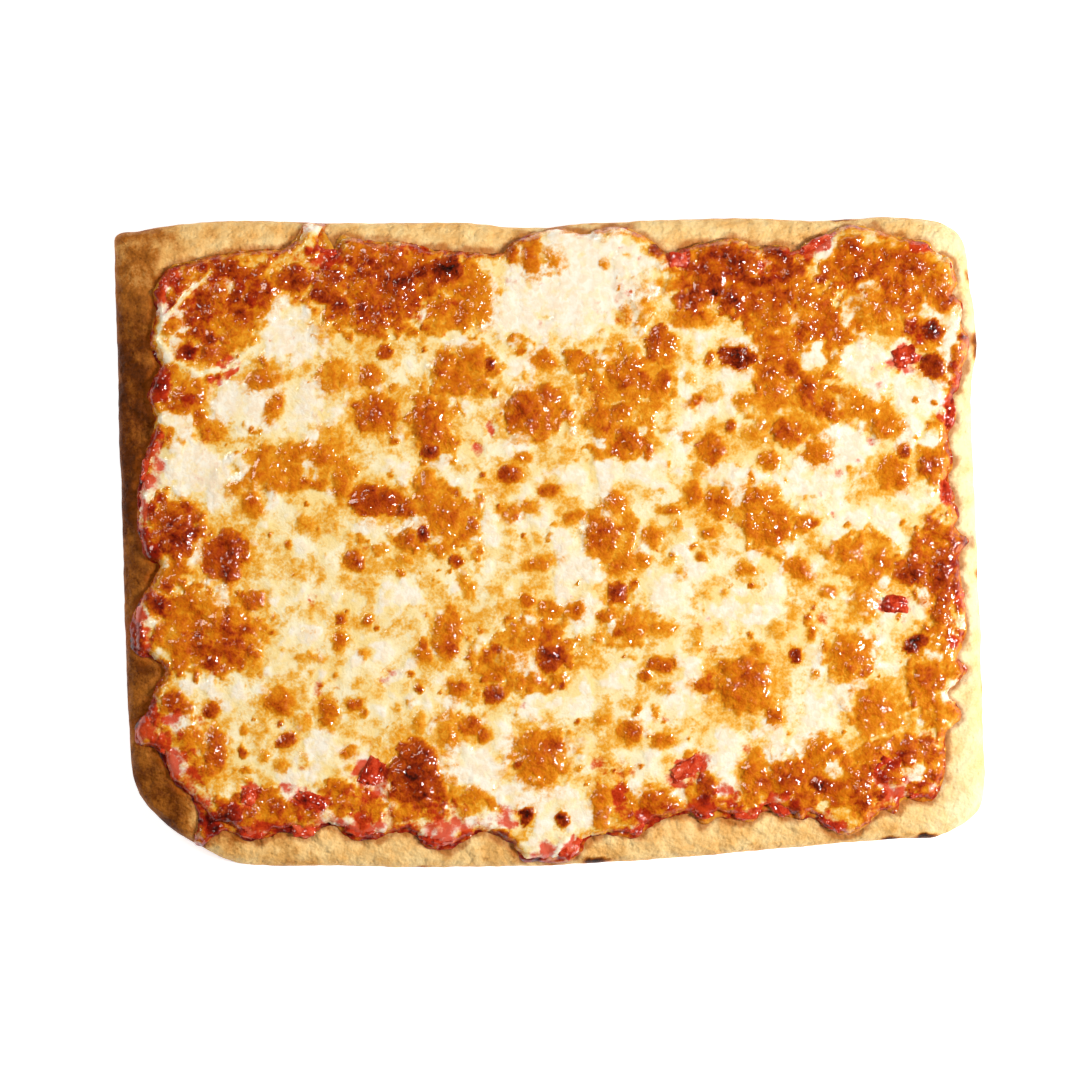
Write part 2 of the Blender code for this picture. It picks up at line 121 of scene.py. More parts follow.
# The edge of the sauce, in the same order
SAUCE_OUTLINE = (
    (-183, 107), (-184, 115), (-181, 123), (-176, 129), (-168, 130.5), (-155, 133.5), (-140, 136),
    (-122, 137), (-117, 142), (-114, 148), (-104, 148), (-105, 142), (-100, 136.5), (-97, 142.5),
    (-90, 141.5), (-80, 139.5), (-68, 140), (-54, 136.5), (-35, 135), (-22, 134.5), (-17, 139.5), (-3, 145),
    (5, 146), (14, 144), (28, 146.5), (36, 146.5), (42, 144), (49, 139.5), (57, 134), (63, 136.5),
    (72, 139), (87, 141.5), (96, 138), (110, 138), (114, 135.5), (122, 140), (139, 147.5), (147, 147),
    (161, 142.5), (176, 139.5), (181, 134.5), (187, 132), (190, 120), (188, 115.5), (192, 113),
    (192.5, 101), (196, 95), (193, 80), (191, 71), (188.5, 68), (190, 58), (186.5, 50), (188, 36),
    (186, 31), (191, 12), (189, 7), (196, 1), (191.5, -5), (194.5, -34), (193, -47), (191, -54), (195, -60),
    (190, -66), (185.5, -70), (192.5, -80), (185, -90), (185, -102), (183, -113), (177.5, -121),
    (165, -120.5), (161, -126.5), (156, -125), (146, -134), (139, -136.5), (130, -134), (122, -128),
    (117, -130), (102, -125), (95, -130), (78, -128.5), (72, -131.5), (65, -127), (50, -131), (40, -138),
    (33, -136.5), (18, -139), (15.5, -145), (8, -149.5), (-6, -149.5), (-12, -148.5), (-17, -141),
    (-24, -137), (-32, -135), (-40, -140.5), (-48, -144), (-58, -141.5), (-65, -135.5), (-84, -139),
    (-92, -138.5), (-99, -133), (-105, -133), (-113, -138.5), (-122, -135), (-138, -139.5), (-150, -134.5),
    (-156, -137.5), (-162, -142.5), (-166, -140.5), (-163.5, -133), (-163.5, -126), (-167, -119),
    (-175, -111), (-183, -97), (-192, -94), (-193, -86), (-187, -79), (-182, -66), (-178, -61), (-184, -55),
    (-193, -52), (-195.5, -42), (-192, -30), (-184, -17), (-181, -11), (-187, -8), (-190.5, 2),
    (-190.5, 30), (-187.5, 42), (-183.5, 56), (-186.5, 67), (-184, 76), (-181, 81), (-185, 89), (-185, 97),
)  # fmt: skip

# Where the sauce shows wider or narrower outside the cheese: x, y, reach over the plan, and width
SAUCE_SHOWS = (
    (-185, 30, 16, 1.5), (-192, -45, 12, 3), (-178, -95, 12, 2), (-160, -136, 12, 9), (-120, -134, 26, 2.5),
    (-86, -132, 14, 3), (-50, -137, 14, 3), (5, -144, 12, 4), (41, -132, 10, 3), (75, -126, 16, 2.5),
    (108, -124, 12, 2.5), (132, -131, 14, 2), (172, -116, 14, 2), (186, 58, 8, 3), (186, 24, 7, 3),
    (-104, 138, 10, 3), (-176, 120, 12, 2), (124, 138, 10, 2),
)  # fmt: skip

# Soft golden zones of the cheese, with how toasted each is
GOLDEN_ZONES = patches(
    (-10, 120, 9, 7, 34), (8, 143, 12, 4, 36), (36, 130, 6, 6, 40), (-152, 118, 24, 15, 68, 10),
    (-166, 108, 14, 16, 62), (-90, 116, 26, 16, 70, -15), (-64, 122, 16, 16, 66), (86, 122, 32, 16, 70),
    (150, 128, 28, 12, 62), (-150, -46, 19, 17, 62, -15), (-174, 6, 14, 16, 64), (184, -8, 10, 20, 62),
    (144, -112, 26, 12, 60, 10), (176, 104, 12, 14, 60, -30), (-152, 112, 34, 24, 50, 10),
    (-172, 70, 15, 34, 50), (-82, 118, 36, 24, 56), (-44, 114, 18, 22, 48), (88, 122, 38, 20, 62),
    (116, 98, 24, 30, 52, 20), (158, 122, 34, 22, 52), (184, 96, 12, 34, 50), (-176, 0, 15, 26, 56),
    (-158, -40, 32, 24, 52), (-173, -84, 10, 18, 52), (-162, -102, 8, 14, 46, -30), (-120, 34, 34, 12, 44),
    (-48, 12, 20, 24, 44, 60), (-53, 55, 14, 20, 48), (-40, 80, 19, 13, 48, 20), (-6, 60, 19, 14, 48, 20),
    (38, 76, 24, 17, 44, -10), (36, 48, 20, 14, 42, 20), (28, 4, 16, 16, 42), (-12, -52, 28, 20, 48, 10),
    (38, -38, 18, 12, 40, 20), (100, 12, 14, 26, 46, 30), (112, 58, 24, 14, 44, -10),
    (152, 58, 22, 12, 40, -20), (150, -8, 24, 14, 42, -20), (180, -10, 14, 24, 54), (182, 40, 12, 22, 42),
    (180, -62, 14, 34, 46), (130, -109, 19, 13, 56), (168, -104, 17, 17, 56), (112, -112, 26, 16, 54),
    (84, -118, 24, 12, 46), (44, -122, 24, 12, 46), (-60, -114, 18, 22, 50), (-92, -122, 20, 12, 48),
    (-34, -120, 14, 12, 42), (-130, -126, 30, 10, 54), (-2, -98, 16, 14, 40), (90, -68, 18, 16, 40),
    (27, 144, 10, 4, 50), (34, 121, 3, 9, 55), (43, 113, 6, 14, 50), (51, 92, 8, 9, 60),
    (-13, 92, 5, 3, 50, 10), (13, 84, 10, 5, 50), (38, 77, 9, 7, 60, -30), (22, 56, 7, 7, 60),
    (34, 60, 6, 4, 56, 20), (39, 44, 10, 9, 54), (-22, 112, 5, 8, 40), (-4, 124, 6, 9, 40),
    (24, 110, 4, 6, 32), (-128, 82, 14, 8, 34), (-100, 50, 12, 8, 36), (100, 86, 10, 16, 56),
    (132, 102, 18, 12, 56), (128, 66, 16, 10, 56, -30), (140, -54, 16, 13, 42), (152, -78, 16, 14, 40),
    (-42, -88, 16, 12, 36),
)  # fmt: skip

# Browned patches and blisters, with how toasted each is
BLISTERS = patches(
    # top left
    (-156, 112, 8, 10, 72), (-165, 105, 5, 5, 76), (-152, 127, 5, 4, 86), (-138, 116, 10, 8, 76),
    (-143, 106, 6, 3, 90, -10), (-118, 121, 8, 7, 86), (-157, 94, 4, 2.5, 95), (-168, 88, 5, 4, 90),
    (-157, 88, 8, 5, 76), (-145, 96, 4, 5, 62), (-133, 76, 8, 5, 64, 15), (-128, 62, 7, 3, 66, 65),
    (-181, 73, 5, 4, 86), (-168, 66, 8, 6, 72), (-156, 51, 6, 5, 62), (-100, 77, 8, 8, 58),
    (-105, 99, 6, 8, 44), (-176, 100, 5, 4, 62), (-100, 122, 6, 9, 72, 20),
    # top, left of the middle
    (-87, 135, 8, 5, 74), (-85, 118, 8, 10, 68), (-70, 115, 8, 12, 76), (-72, 132, 7, 5, 74),
    (-90, 104, 6, 5, 66), (-78, 103, 5, 5, 70), (-47, 127, 8, 6, 100), (-55, 125, 6, 10, 70),
    (-33, 110, 7, 9, 62), (-46, 111, 4, 2, 72), (-38, 117, 6, 4, 72, 20), (-17, 134, 3, 3.5, 80),
    (-8, 133, 4, 9, 72), (2, 130, 5, 7, 52), (-76, 88.5, 3, 4, 88), (-83, 77, 5, 5, 72),
    (-48, 83, 5, 6, 70), (-43, 73, 6, 5, 72), (-35, 84, 7, 6, 66), (-32, 72, 5, 5, 60), (-27, 83, 3, 3, 95),
    (-80, 60, 10, 9, 76, 10), (-55, 54, 8, 11, 76), (-55, 42, 4, 3, 92), (-10, 60, 10, 10, 76),
    (0, 68, 6, 5, 72), (-2, 84, 5, 5.5, 68), (-12, 92, 5, 2, 36), (1, 94, 2.5, 2.5, 40),
    (-11, 77, 1.5, 4, 46),
    # top, right of the middle
    (44, 144, 4, 3.5, 72), (51, 136, 4, 3.5, 92), (28, 145, 4, 3, 50), (26, 129, 2.5, 2.5, 56),
    (35, 105, 4, 5, 50), (46, 112, 7, 10, 44), (55, 119, 5, 4, 50), (72, 134, 9, 5, 68),
    (75, 123, 8, 6, 78), (90, 130, 9, 6, 80, -20), (85, 114, 9, 7, 78), (70, 114, 6, 6, 76),
    (104, 120, 8, 7, 76), (66, 104, 10, 4, 66), (52, 90, 7, 8, 66), (38, 88, 5, 5, 50), (12, 86, 4, 3, 42),
    (22, 83, 5, 3, 60), (37, 78, 9, 8, 68), (43, 72, 4, 3, 74), (53, 75, 4, 4, 82), (65, 77, 4, 3, 42),
    (76, 69, 6, 4, 42), (88, 86, 8, 5, 100, -10), (66, 64, 3, 3, 46), (55, 65, 3, 3, 50),
    (25, 57, 8, 8, 66), (34, 60, 5, 5, 62), (10, 55, 3, 8, 44), (37, 47, 6, 6, 62), (47, 42, 2, 3.5, 76),
    (75, 43, 6, 7, 76), (84, 54, 2.5, 2.5, 80), (57, 52, 3, 3, 42), (64, 49, 3, 3, 56), (96, 50, 6, 5, 52),
    (90, 65, 4, 4, 56),
    # top right
    (105, 135, 6, 4, 90), (112, 122, 8, 6, 68), (120, 112, 8, 7, 66), (104, 106, 8, 7, 68),
    (140, 138, 6, 4.5, 68), (150, 132, 5, 4, 72), (142, 126, 6, 5, 68), (160, 133, 5, 4, 58),
    (184, 128, 4.5, 4.5, 52), (172, 127, 4, 6, 72), (166, 118, 8, 4, 72), (182, 114, 9, 4.5, 74, -35),
    (155, 108, 14, 12, 58, -20), (119, 101, 4, 4, 76), (113, 81, 3.5, 5, 88), (121, 72, 5.5, 5, 82),
    (105, 73, 6, 10, 68), (104, 88, 6, 6, 66), (133, 84, 3, 5, 50), (178, 99, 5, 4.5, 100),
    (179, 82, 6, 5.5, 97, -30), (193, 95, 3, 2, 100), (190, 82, 3, 8, 72), (171, 66, 1.5, 1.5, 70),
    (178.5, 65, 1.5, 1.5, 70), (145, 64, 10, 5, 62, -35), (157, 53, 8, 5, 64), (110, 52, 7, 5, 76),
    (125, 42, 6, 6, 68), (132, 58, 2.5, 2.5, 62), (165, 42, 3, 3, 82),
    # left
    (-173, 14, 9, 5, 68), (-172, 2, 8, 10, 86), (-188, 3, 3, 3, 86), (-184, -6, 5, 4, 86),
    (-162, 8, 4, 4, 58), (-150, -6, 10, 12, 88), (-150, -13, 4, 4, 92), (-138, 17, 5, 6, 68),
    (-145, 25, 5, 4, 54), (-128, 28, 6, 5, 62), (-133, 33, 9, 5, 62, 45), (-118, 41, 9, 5, 62, 10),
    (-105, 40, 7, 5, 66, -20), (-96, 27, 5, 9, 64), (-113, 8, 4.5, 4.5, 52), (-137, -27, 5, 5, 74),
    (-150, -42, 14, 12, 68), (-148, -47, 8, 7, 76), (-157, -56, 5, 4, 86), (-137, -55, 5, 7, 54),
    (-182, -29, 10, 4, 86, -40), (-193, -45, 5, 9, 86), (-110, -54, 7, 2.5, 48), (-96.5, -36, 2.5, 2.5, 78),
    (-96.5, -46, 3, 4, 72), (-160, -30, 8, 6, 58), (-172, -45, 6, 8, 52),
    # middle, left
    (-80, 19, 14, 7, 84, -5), (-66, 15, 4, 4, 78), (-57, 27, 6, 6, 62), (-48, 12, 9, 9, 68),
    (-58, 4, 3, 4, 100), (-65, 0, 6, 6, 68), (-67, -8, 4, 4, 52), (-36, 8, 2.5, 4, 76), (-73, 5, 3, 3, 42),
    (-93, 3, 3, 3, 42), (-90, -9, 4.5, 4.5, 76), (-77, -3, 2.5, 2.5, 54), (-94, -17, 3, 2, 44),
    (-18, 31, 5.5, 4.5, 82), (-12, 39, 4, 3, 62), (-18, 14, 5, 3.5, 68), (-9, 16, 4, 3, 64),
    (0, 24, 4, 3.5, 76), (-18, 4, 3, 2.2, 44), (-5, -10, 8, 3.5, 62, 15), (-43, -9, 3, 2.5, 82),
    (-38, -20, 3, 8, 54, 20), (0, -32, 5.5, 4.5, 68), (-47, -43, 6, 12, 68, -10), (-46, -48, 4, 5, 80),
    (-58, -52, 4, 4, 64), (-25, -50, 3.5, 2.5, 82), (-20, -55, 10, 8, 54), (-10, -45, 8, 5, 64, 20),
    (0, -43, 4, 4, 78), (1, -54, 6.5, 6, 92), (5, -62, 5, 4, 52), (-6, -64, 4, 3, 68), (-15, -66, 4, 4, 58),
    (-42, -68, 5, 4, 72), (-26, -71, 4.5, 4, 88), (-36, -73, 3, 3, 44), (-86, -52, 3, 2.5, 52),
    # middle, right
    (31, 18, 5, 5, 64), (12, 12, 5, 3, 66), (20, 12, 3, 3, 62), (26, 4, 8, 7, 78), (20, -2, 3.5, 3.5, 62),
    (35, -10, 8, 5, 64, 20), (43, -8, 3.5, 3.5, 62), (48, 3, 5, 5, 62), (56, 15, 5, 2, 66),
    (60, 8, 2.5, 3, 52), (67, 22, 4, 6, 68), (70, 33, 4, 4, 48), (79, 18, 6, 7, 68), (96, 20, 6, 6, 66),
    (105, 12, 7, 6, 66, -40), (93, 11, 2, 2, 80), (75, 4, 3, 2.5, 64), (57, -8, 3, 3, 44),
    (62, -14, 3, 3, 44), (92, -13, 5, 3.5, 62), (82, -24, 2, 2, 50), (73, -25, 2, 2, 46),
    (32, -24, 5, 5, 86), (12, -32, 5, 4, 66), (26, -35, 3.5, 3, 68), (38, -40, 7, 6, 68),
    (33, -42, 3, 3, 74), (54, -40, 5, 3, 62), (23, -45, 3, 3, 52), (15, -53, 4, 4, 52),
    (52, -57, 6, 3.5, 78), (67, -50, 3, 3, 42), (97, -50, 3.5, 3.5, 62),
    # right
    (104, 2, 4, 4, 68), (108, 8, 4, 8, 74), (116, -13, 7, 4.5, 68, -40), (118, 8, 5, 4, 64, 50),
    (102, 38, 4, 4, 66), (130, -23, 4, 3, 62), (139, -5, 8, 4, 66, 40), (146, -28, 7, 9, 54),
    (160, 32, 8, 7, 68), (177, 36, 6, 4.5, 78), (189, 13, 3, 3, 56), (184, 4, 6, 4, 74), (194, 1, 3, 3, 88),
    (183, -15, 8, 13, 84), (168, -14, 8, 6, 88), (155, -8, 7, 4, 68, -40), (182, -33, 5, 5, 78),
    (170, -47, 6, 4, 100, 30), (140, -53, 10, 9, 66), (115, -53, 3, 4, 97), (107, -41, 5, 4, 48),
    (122, -42, 2, 3.5, 68),
    # bottom left
    (-174, -74, 5, 5, 84), (-157, -78, 4, 4, 84), (-167, -92, 6, 6, 64), (-155, -98, 5, 12, 78),
    (-125, -74, 6.5, 7, 70), (-103, -79, 4.5, 6, 72), (-122, -92, 5, 3, 88, 25), (-115, -84, 4, 5, 48),
    (-124, -104, 3.5, 3, 54), (-132, -99, 2, 3, 54), (-141, -111, 2.5, 2.5, 54), (-126, -123, 4, 5, 80),
    (-150, -128, 10, 5, 90, 20), (-90, -76, 4, 3, 78), (-93, -98, 3, 3, 68), (-60, -85, 3.5, 6, 54),
    (-62, -108, 12, 16, 92), (-47, -87, 5, 8, 58), (-36, -86, 5, 4, 78), (-30, -90, 3, 3, 72),
    (-45, -112, 4, 5, 48), (-92, -120, 8, 5, 62), (-35, -118, 5, 4, 64), (-22, -136, 4, 2, 97),
    (-10, -127, 3.5, 4.5, 100), (-4, -100, 12, 12, 68), (2, -94, 5, 4, 80),
    # bottom right
    (38, -88, 5.5, 5, 74), (53, -92, 5, 3, 68), (25, -83, 4, 3, 54), (54, -68, 4, 3, 54),
    (90, -66, 13, 13, 68), (94, -62, 7, 8, 74), (72, -67, 5, 3.5, 78), (95, -85, 4, 4, 44),
    (6, -129, 3, 3.5, 97), (25, -123, 4, 12, 68), (50, -122, 8, 7, 76), (73, -115, 4, 8, 88),
    (95, -108, 6, 12, 64, -15), (105, -81, 4, 3.5, 78), (127, -96, 8, 6, 64), (112, -110, 9, 9, 78),
    (126, -113, 5, 4, 97), (143, -116, 9, 11, 72), (150, -98, 10, 5, 64, 20), (158, -108, 6, 5, 72),
    (167, -97, 4, 8, 82), (151, -77, 9, 9, 68), (175, -64, 9, 7, 74, 40), (190, -61, 5, 4, 58),
    (186, -79, 9, 4.5, 58), (169, -83, 3, 5, 48), (118, -126, 3, 4, 66), (124, -61, 2, 2.5, 54),
)  # fmt: skip

# White pools of fresh cheese, with how white each is
WHITE_POOLS = patches(
    (-143, 65, 15, 11, 100), (-165, 35, 17, 14, 90), (-118, 95, 14, 13, 90), (-67, -26, 8, 7, 90),
    (12, 118, 38, 22, 100, 15), (14, 138, 26, 8, 90), (-12, 106, 22, 12, 90), (124, 87, 7, 5, 100),
    (145, 87, 12, 9, 100), (172, 68, 12, 9, 100), (138, 46, 14, 10, 100), (125, 28, 18, 12, 80),
    (12, 30, 10, 8, 70), (50, 33, 11, 8, 70), (15, -12, 11, 8, 90), (56, -24, 12, 9, 70),
    (-35, -105, 14, 11, 100), (-10, -118, 14, 9, 100), (16, -126, 12, 9, 90), (80, -104, 8, 6, 90),
    (87, -115, 6, 6, 90), (116, -98, 8, 5, 80), (180, -52, 6, 5, 100), (-187, 24, 2.6, 2.6, 100),
    (-163, -5, 3, 5, 100), (-166, 118, 4, 9, 50, -30), (-178, 91, 4, 9, 50, -20), (-167, 81, 9, 3, 50, -10),
    (-152, -24, 4, 8, 90, 35), (-144, -34, 3, 6, 80, 20), (-158, -68, 4, 6, 80, 20),
    (-110, 62, 16, 10, 60, 20), (-100, -100, 20, 8, 60, 10), (-72, -62, 6, 4, 80), (-7, -78, 9, 6, 80),
    (62, -75, 12, 7, 60), (85, -95, 9, 6, 80), (153, 76, 12, 6, 80), (40, 122, 12, 14, 80),
    (170, 20, 10, 7, 60), (122, -76, 12, 9, 70), (-4, -136, 7, 10, 90, 15),
)  # fmt: skip

# Where the red of the tomato shows through, with how strong it is
RED_PATCHES = patches(
    (35, 105, 5, 5, 50), (-15, 122, 8, 6, 30), (33, 118, 3, 8, 40), (20, 70, 8, 4, 40),
    (-160, 112, 18, 20, 56), (-104, 120, 26, 12, 40, -15), (-74, 116, 22, 18, 44), (-138, 116, 10, 8, 60),
    (86, 124, 26, 14, 36), (156, 124, 26, 12, 34), (-152, -44, 12, 10, 42), (-172, 4, 12, 12, 45),
    (180, -12, 12, 20, 40), (-128, -129, 28, 9, 45, 3), (-84, -126, 22, 11, 45), (-46, -131, 18, 9, 45),
    (-60, -134, 26, 5, 50), (44, -127, 16, 8, 45), (78, -120, 18, 8, 40), (112, -122, 16, 7, 35),
    (150, -122, 14, 8, 35), (170, -106, 12, 12, 30), (-172, -104, 12, 12, 70, -40),
    (-166, -120, 8, 12, 70, 40), (-186, 8, 5, 20, 60), (190, -20, 4, 22, 50), (188, 74, 5, 10, 60),
    (-60, 134, 30, 4, 40), (-176, 118, 8, 12, 100), (-104, 132, 9, 6, 90), (-152, 80, 9, 5, 100, 40),
    (-168, 88, 6, 5, 70), (-181, 73, 7, 7, 90), (-172, 66, 8, 5, 60), (-184, 40, 5, 12, 90),
    (-186, 25, 5, 14, 90), (-157, 50, 5, 4, 60), (60, 131, 6, 5, 100), (124, 139, 11, 5, 100, 30),
    (112, 132, 6, 5, 60), (174, 138, 7, 4, 90), (165, 85, 8, 6, 100), (170, 98, 5, 7, 60),
    (186, 60, 5, 8, 100), (185, 24, 4, 7, 100), (161, -28, 8, 5, 90), (187, -43, 3, 6, 90),
    (188, -28, 4, 12, 50), (183, -15, 8, 12, 40), (-178, -95, 8, 16, 100), (-186, -84, 7, 9, 80),
    (-139, -118, 5, 6, 100), (-138, -134, 10, 6, 90), (-115, -134, 9, 6, 80), (-112, -119, 12, 5, 100, -15),
    (-84, -108, 9, 7, 100), (-80, -118, 10, 8, 80), (-88, -131, 10, 7, 100), (-52, -134, 12, 9, 90),
    (-48, -123, 10, 5, 70, -20), (-20, -128, 9, 5, 80, -20), (8, -144, 12, 7, 100), (24, -106, 5, 8, 50),
    (36, -106, 8, 5, 50), (34, -120, 4, 8, 90), (41, -131, 6, 8, 100), (64, -106, 10, 7, 100, 30),
    (72, -124, 6, 6, 100), (82, -118, 7, 5, 90), (92, -128, 8, 4, 90), (108, -122, 8, 6, 100),
    (131, -131, 8, 4, 100, -30), (157, -106, 8, 9, 80), (156, -116, 5, 7, 100), (163, -118, 6, 8, 80),
    (172, -116, 10, 5, 80), (176, -92, 6, 6, 50), (30, -72, 8, 3, 25, 20), (-74, -62, 5, 4, 50),
    (-110, 60, 7, 5, 20), (-27, 53, 2, 5, 80), (-33, 43, 3, 3, 70), (18, 66, 7, 4, 30),
    (20, 108, 12, 8, 20), (-160, 35, 12, 10, 18), (75, -38, 6, 6, 20), (94, -24, 10, 7, 15),
    (-86, 128, 7, 5, 50), (78, 128, 12, 7, 50), (100, 126, 9, 7, 60),
    (-155, 128, 9, 5, 50), (-174, 2, 7, 8, 50), (-186, -2, 5, 8, 80),
    (-192, -42, 7, 13, 90), (-182, -30, 8, 5, 60, -40), (-157, -56, 6, 6, 50), (-172, -76, 6, 6, 50),
    (-150, -128, 14, 6, 80, 20), (-160, -88, 5, 8, 40),
)  # fmt: skip

# Strands of fresh cheese that lie over the rest, each a line through points
STRANDS = (
    ((-157, 126), (-168, 115), (-180, 102), (-182, 95), (-176, 85), (-162, 78), (-150, 80), (-140, 88)),
    ((-188, 50), (-181, 56), (-172, 57)), ((14, -130), (6, -140), (2, -149)),
)  # fmt: skip

# Tomato pieces at the edge and in the cheese: x, y, half length, half width, turn in degrees
EDGE_PIECES = (
    (-103, 132.5, 7, 4, -10), (-174, 120.5, 7, 5.5, 50), (-186.5, 33, 6, 3, 80),
    (-178, -93, 6, 4.5, 100), (-138, -134.5, 6, 3.6, -12), (-114, -133.5, 5.5, 4.2, 0),
    (-88, -132, 7.5, 5, -8), (-52, -136, 7.5, 5.3, 10), (9, -141, 6.5, 5, 60),
    (41, -130.5, 6, 4.2, 75), (72, -124.5, 5, 4.4, 0), (92, -126.5, 6, 2.8, 5),
    (108, -122, 6.2, 4.8, -35), (131, -130, 7, 2.8, -35), (173, -115, 7, 3.4, 18),
    (184.5, 23, 5.5, 3, 95), (186, 59, 6, 3.2, 80), (124, 138, 8.5, 2.8, 28),
    (172, 136.5, 4.5, 2.8, -8), (183, 126.5, 4.5, 4.3, 0),
)  # fmt: skip
CHEESE_PIECES = (
    (64, -105.5, 8, 4.2, 30), (-82, -107, 7, 4.6, 60), (-110, -120, 8, 3.6, -18),
    (-139.5, -118.5, 4.6, 3.6, 75), (161, -29, 6.5, 4.4, 0), (156, -105, 6, 4.4, 60),
    (60, 131, 5, 4, 0), (165, 86, 6, 4.6, 20),
)  # fmt: skip

# Scorched places of the bread, with how dark each is
SCORCHES = patches(
    (200, 92, 3, 9, 90), (196, 124, 2.5, 4, 70), (22, -149, 9, 3, 100, 5), (160, -138.5, 5, 2, 100),
    (176, -137.5, 7, 2, 100, 5), (136, 151, 8, 2, 90), (18, 149, 7, 2, 60), (-186, -119, 7, 4, 80, -50),
    (-196, 40, 3, 30, 40), (-160, -138, 7, 6, 40), (201, -15, 2, 3, 80), (-60, -152, 9, 1.6, 70),
    (-58, -145, 2, 5, 40, 30), (203, -66, 1.6, 6, 60), (-16, -146, 3, 8, 50, 10),
)  # fmt: skip


def noise(x, y, size, seed):
    """Smooth unevenness from about -1 to 1 over the plan, with lumps of that size."""
    u, v = x / size + 31.7 * seed, y / size - 17.3 * seed
    i, j = np.floor(u), np.floor(v)
    u, v = u - i, v - j

    def corner(a, b):
        turn = np.sin((i + a) * 127.1 + (j + b) * 311.7 + seed * 53.9) * 43758.5453
        turn = (turn - np.floor(turn)) * math.tau
        return np.cos(turn) * (u - a) + np.sin(turn) * (v - b)

    fade_u, fade_v = (t * t * t * (t * (t * 6 - 15) + 10) for t in (u, v))
    low = corner(0, 0) * (1 - fade_u) + corner(1, 0) * fade_u
    high = corner(0, 1) * (1 - fade_u) + corner(1, 1) * fade_u
    return 1.5 * (low * (1 - fade_v) + high * fade_v)


def layered(x, y, size, seed, layers=4):
    """Noise with finer and fainter layers on top."""
    total = sum(noise(x, y, size / 2**k, seed + 7 * k) / 2**k for k in range(layers))
    return total / 1.4


def ease(low, high, value):
    """0 at low, 1 at high, and smooth between them."""
    share = np.clip((value - low) / (high - low), 0, 1)
    return share * share * (3 - 2 * share)


def smooth_loop(points, spacing, steps=24):
    """A closed centripetal Catmull-Rom curve through plan points, cut into equal steps at the end."""
    knots = np.array(points, float)
    dense = []
    for before, start, end, after in zip(
        np.roll(knots, 1, 0), knots, np.roll(knots, -1, 0), np.roll(knots, -2, 0)
    ):
        gaps = [math.sqrt(np.linalg.norm(b - a)) for a, b in ((before, start), (start, end), (end, after))]
        rise = (start - before) / gaps[0] - (end - before) / (gaps[0] + gaps[1]) + (end - start) / gaps[1]
        fall = (end - start) / gaps[1] - (after - start) / (gaps[1] + gaps[2]) + (after - end) / gaps[2]
        rise, fall = rise * gaps[1], fall * gaps[1]
        for t in np.linspace(0, 1, steps, endpoint=False):
            dense.append(
                start
                + rise * t
                + (3 * (end - start) - 2 * rise - fall) * t**2
                + (2 * (start - end) + rise + fall) * t**3
            )
    return even_steps(np.array(dense), spacing)


def even_steps(loop, spacing):
    """The same closed loop, with its points an equal way apart."""
    closed = np.vstack([loop, loop[:1]])
    along = np.concatenate([[0], np.cumsum(np.linalg.norm(np.diff(closed, axis=0), axis=1))])
    at = np.linspace(0, along[-1], round(along[-1] / spacing), endpoint=False)
    return np.stack([np.interp(at, along, closed[:, axis]) for axis in (0, 1)], axis=1)


def inward(loop):
    """The unit vector into a clockwise loop at each of its points."""
    run = np.roll(loop, -1, 0) - np.roll(loop, 1, 0)
    run /= np.linalg.norm(run, axis=1)[:, None]
    return np.stack([run[:, 1], -run[:, 0]], axis=1)


def drawn_in(loop, by):
    """The loop drawn in to its middle by about that far on every side, which never folds it."""
    low, high = loop.min(0), loop.max(0)
    middle = (low + high) / 2
    return middle + (loop - middle) * (1 - 2 * by / (high - low))


def rings_inward(loop, depths, spacing, offset_limit):
    """The loop moved in to each of these rising depths: offset up to a limit, and drawn in from there.

    The offset goes in small steps with some smoothing, so that tight corners don't fold.
    """
    rings, ring, reached = [], loop, 0.0
    for depth in depths:
        target = min(depth, offset_limit)
        steps = max(0, math.ceil((target - reached) / (0.4 * spacing)))
        for _ in range(steps):
            ring = ring + inward(ring) * (target - reached) / steps
            ring = ring * 0.7 + (np.roll(ring, 1, 0) + np.roll(ring, -1, 0)) * 0.15
        reached = max(reached, target)
        rings.append(drawn_in(ring, depth - target))
    return rings


def depth_inside(loop, x, y):
    """How far each point lies inside the loop, and less than 0 outside it."""
    away = np.full(x.shape, 1e9)
    inside = np.zeros(x.shape, bool)
    for (ax, ay), (bx, by) in zip(loop, np.roll(loop, -1, 0)):
        dx, dy = bx - ax, by - ay
        share = np.clip(((x - ax) * dx + (y - ay) * dy) / (dx * dx + dy * dy), 0, 1)
        away = np.minimum(away, (ax + share * dx - x) ** 2 + (ay + share * dy - y) ** 2)
        if ay != by:
            inside ^= ((ay > y) != (by > y)) & (ax + (y - ay) / dy * dx > x)
    return np.where(inside, 1, -1) * np.sqrt(away)


def centre_of_outline():
    """The middle of the bread's outline, which the CAD has at its origin."""
    loop = smooth_loop(BREAD_OUTLINE, 1.0)
    return (loop.min(0) + loop.max(0)) / 2


CENTRE = centre_of_outline()


def ellipse_share(x, y, patch):
    """Each point's place in a turned ellipse: 0 at its middle and 1 at its edge."""
    turn = math.radians(patch.turn)
    dx, dy = x - patch.x, y - patch.y
    along = dx * math.cos(turn) + dy * math.sin(turn)
    across = dy * math.cos(turn) - dx * math.sin(turn)
    return np.hypot(along / patch.length, across / patch.width)


def gathered(x, y, table, shape, reach=1.8, lobes=None):
    """The largest of shape(share, patch) over a table's patches, looking only near each patch."""
    total = np.zeros(x.shape)
    for patch in table:
        away = reach * max(patch.length, patch.width)
        near = np.flatnonzero((np.abs(x - patch.x) < away) & (np.abs(y - patch.y) < away))
        share = ellipse_share(x[near], y[near], patch)
        if lobes is not None:
            share = share + lobes[near]
        total[near] = np.maximum(total[near], shape(share, patch))
    return total


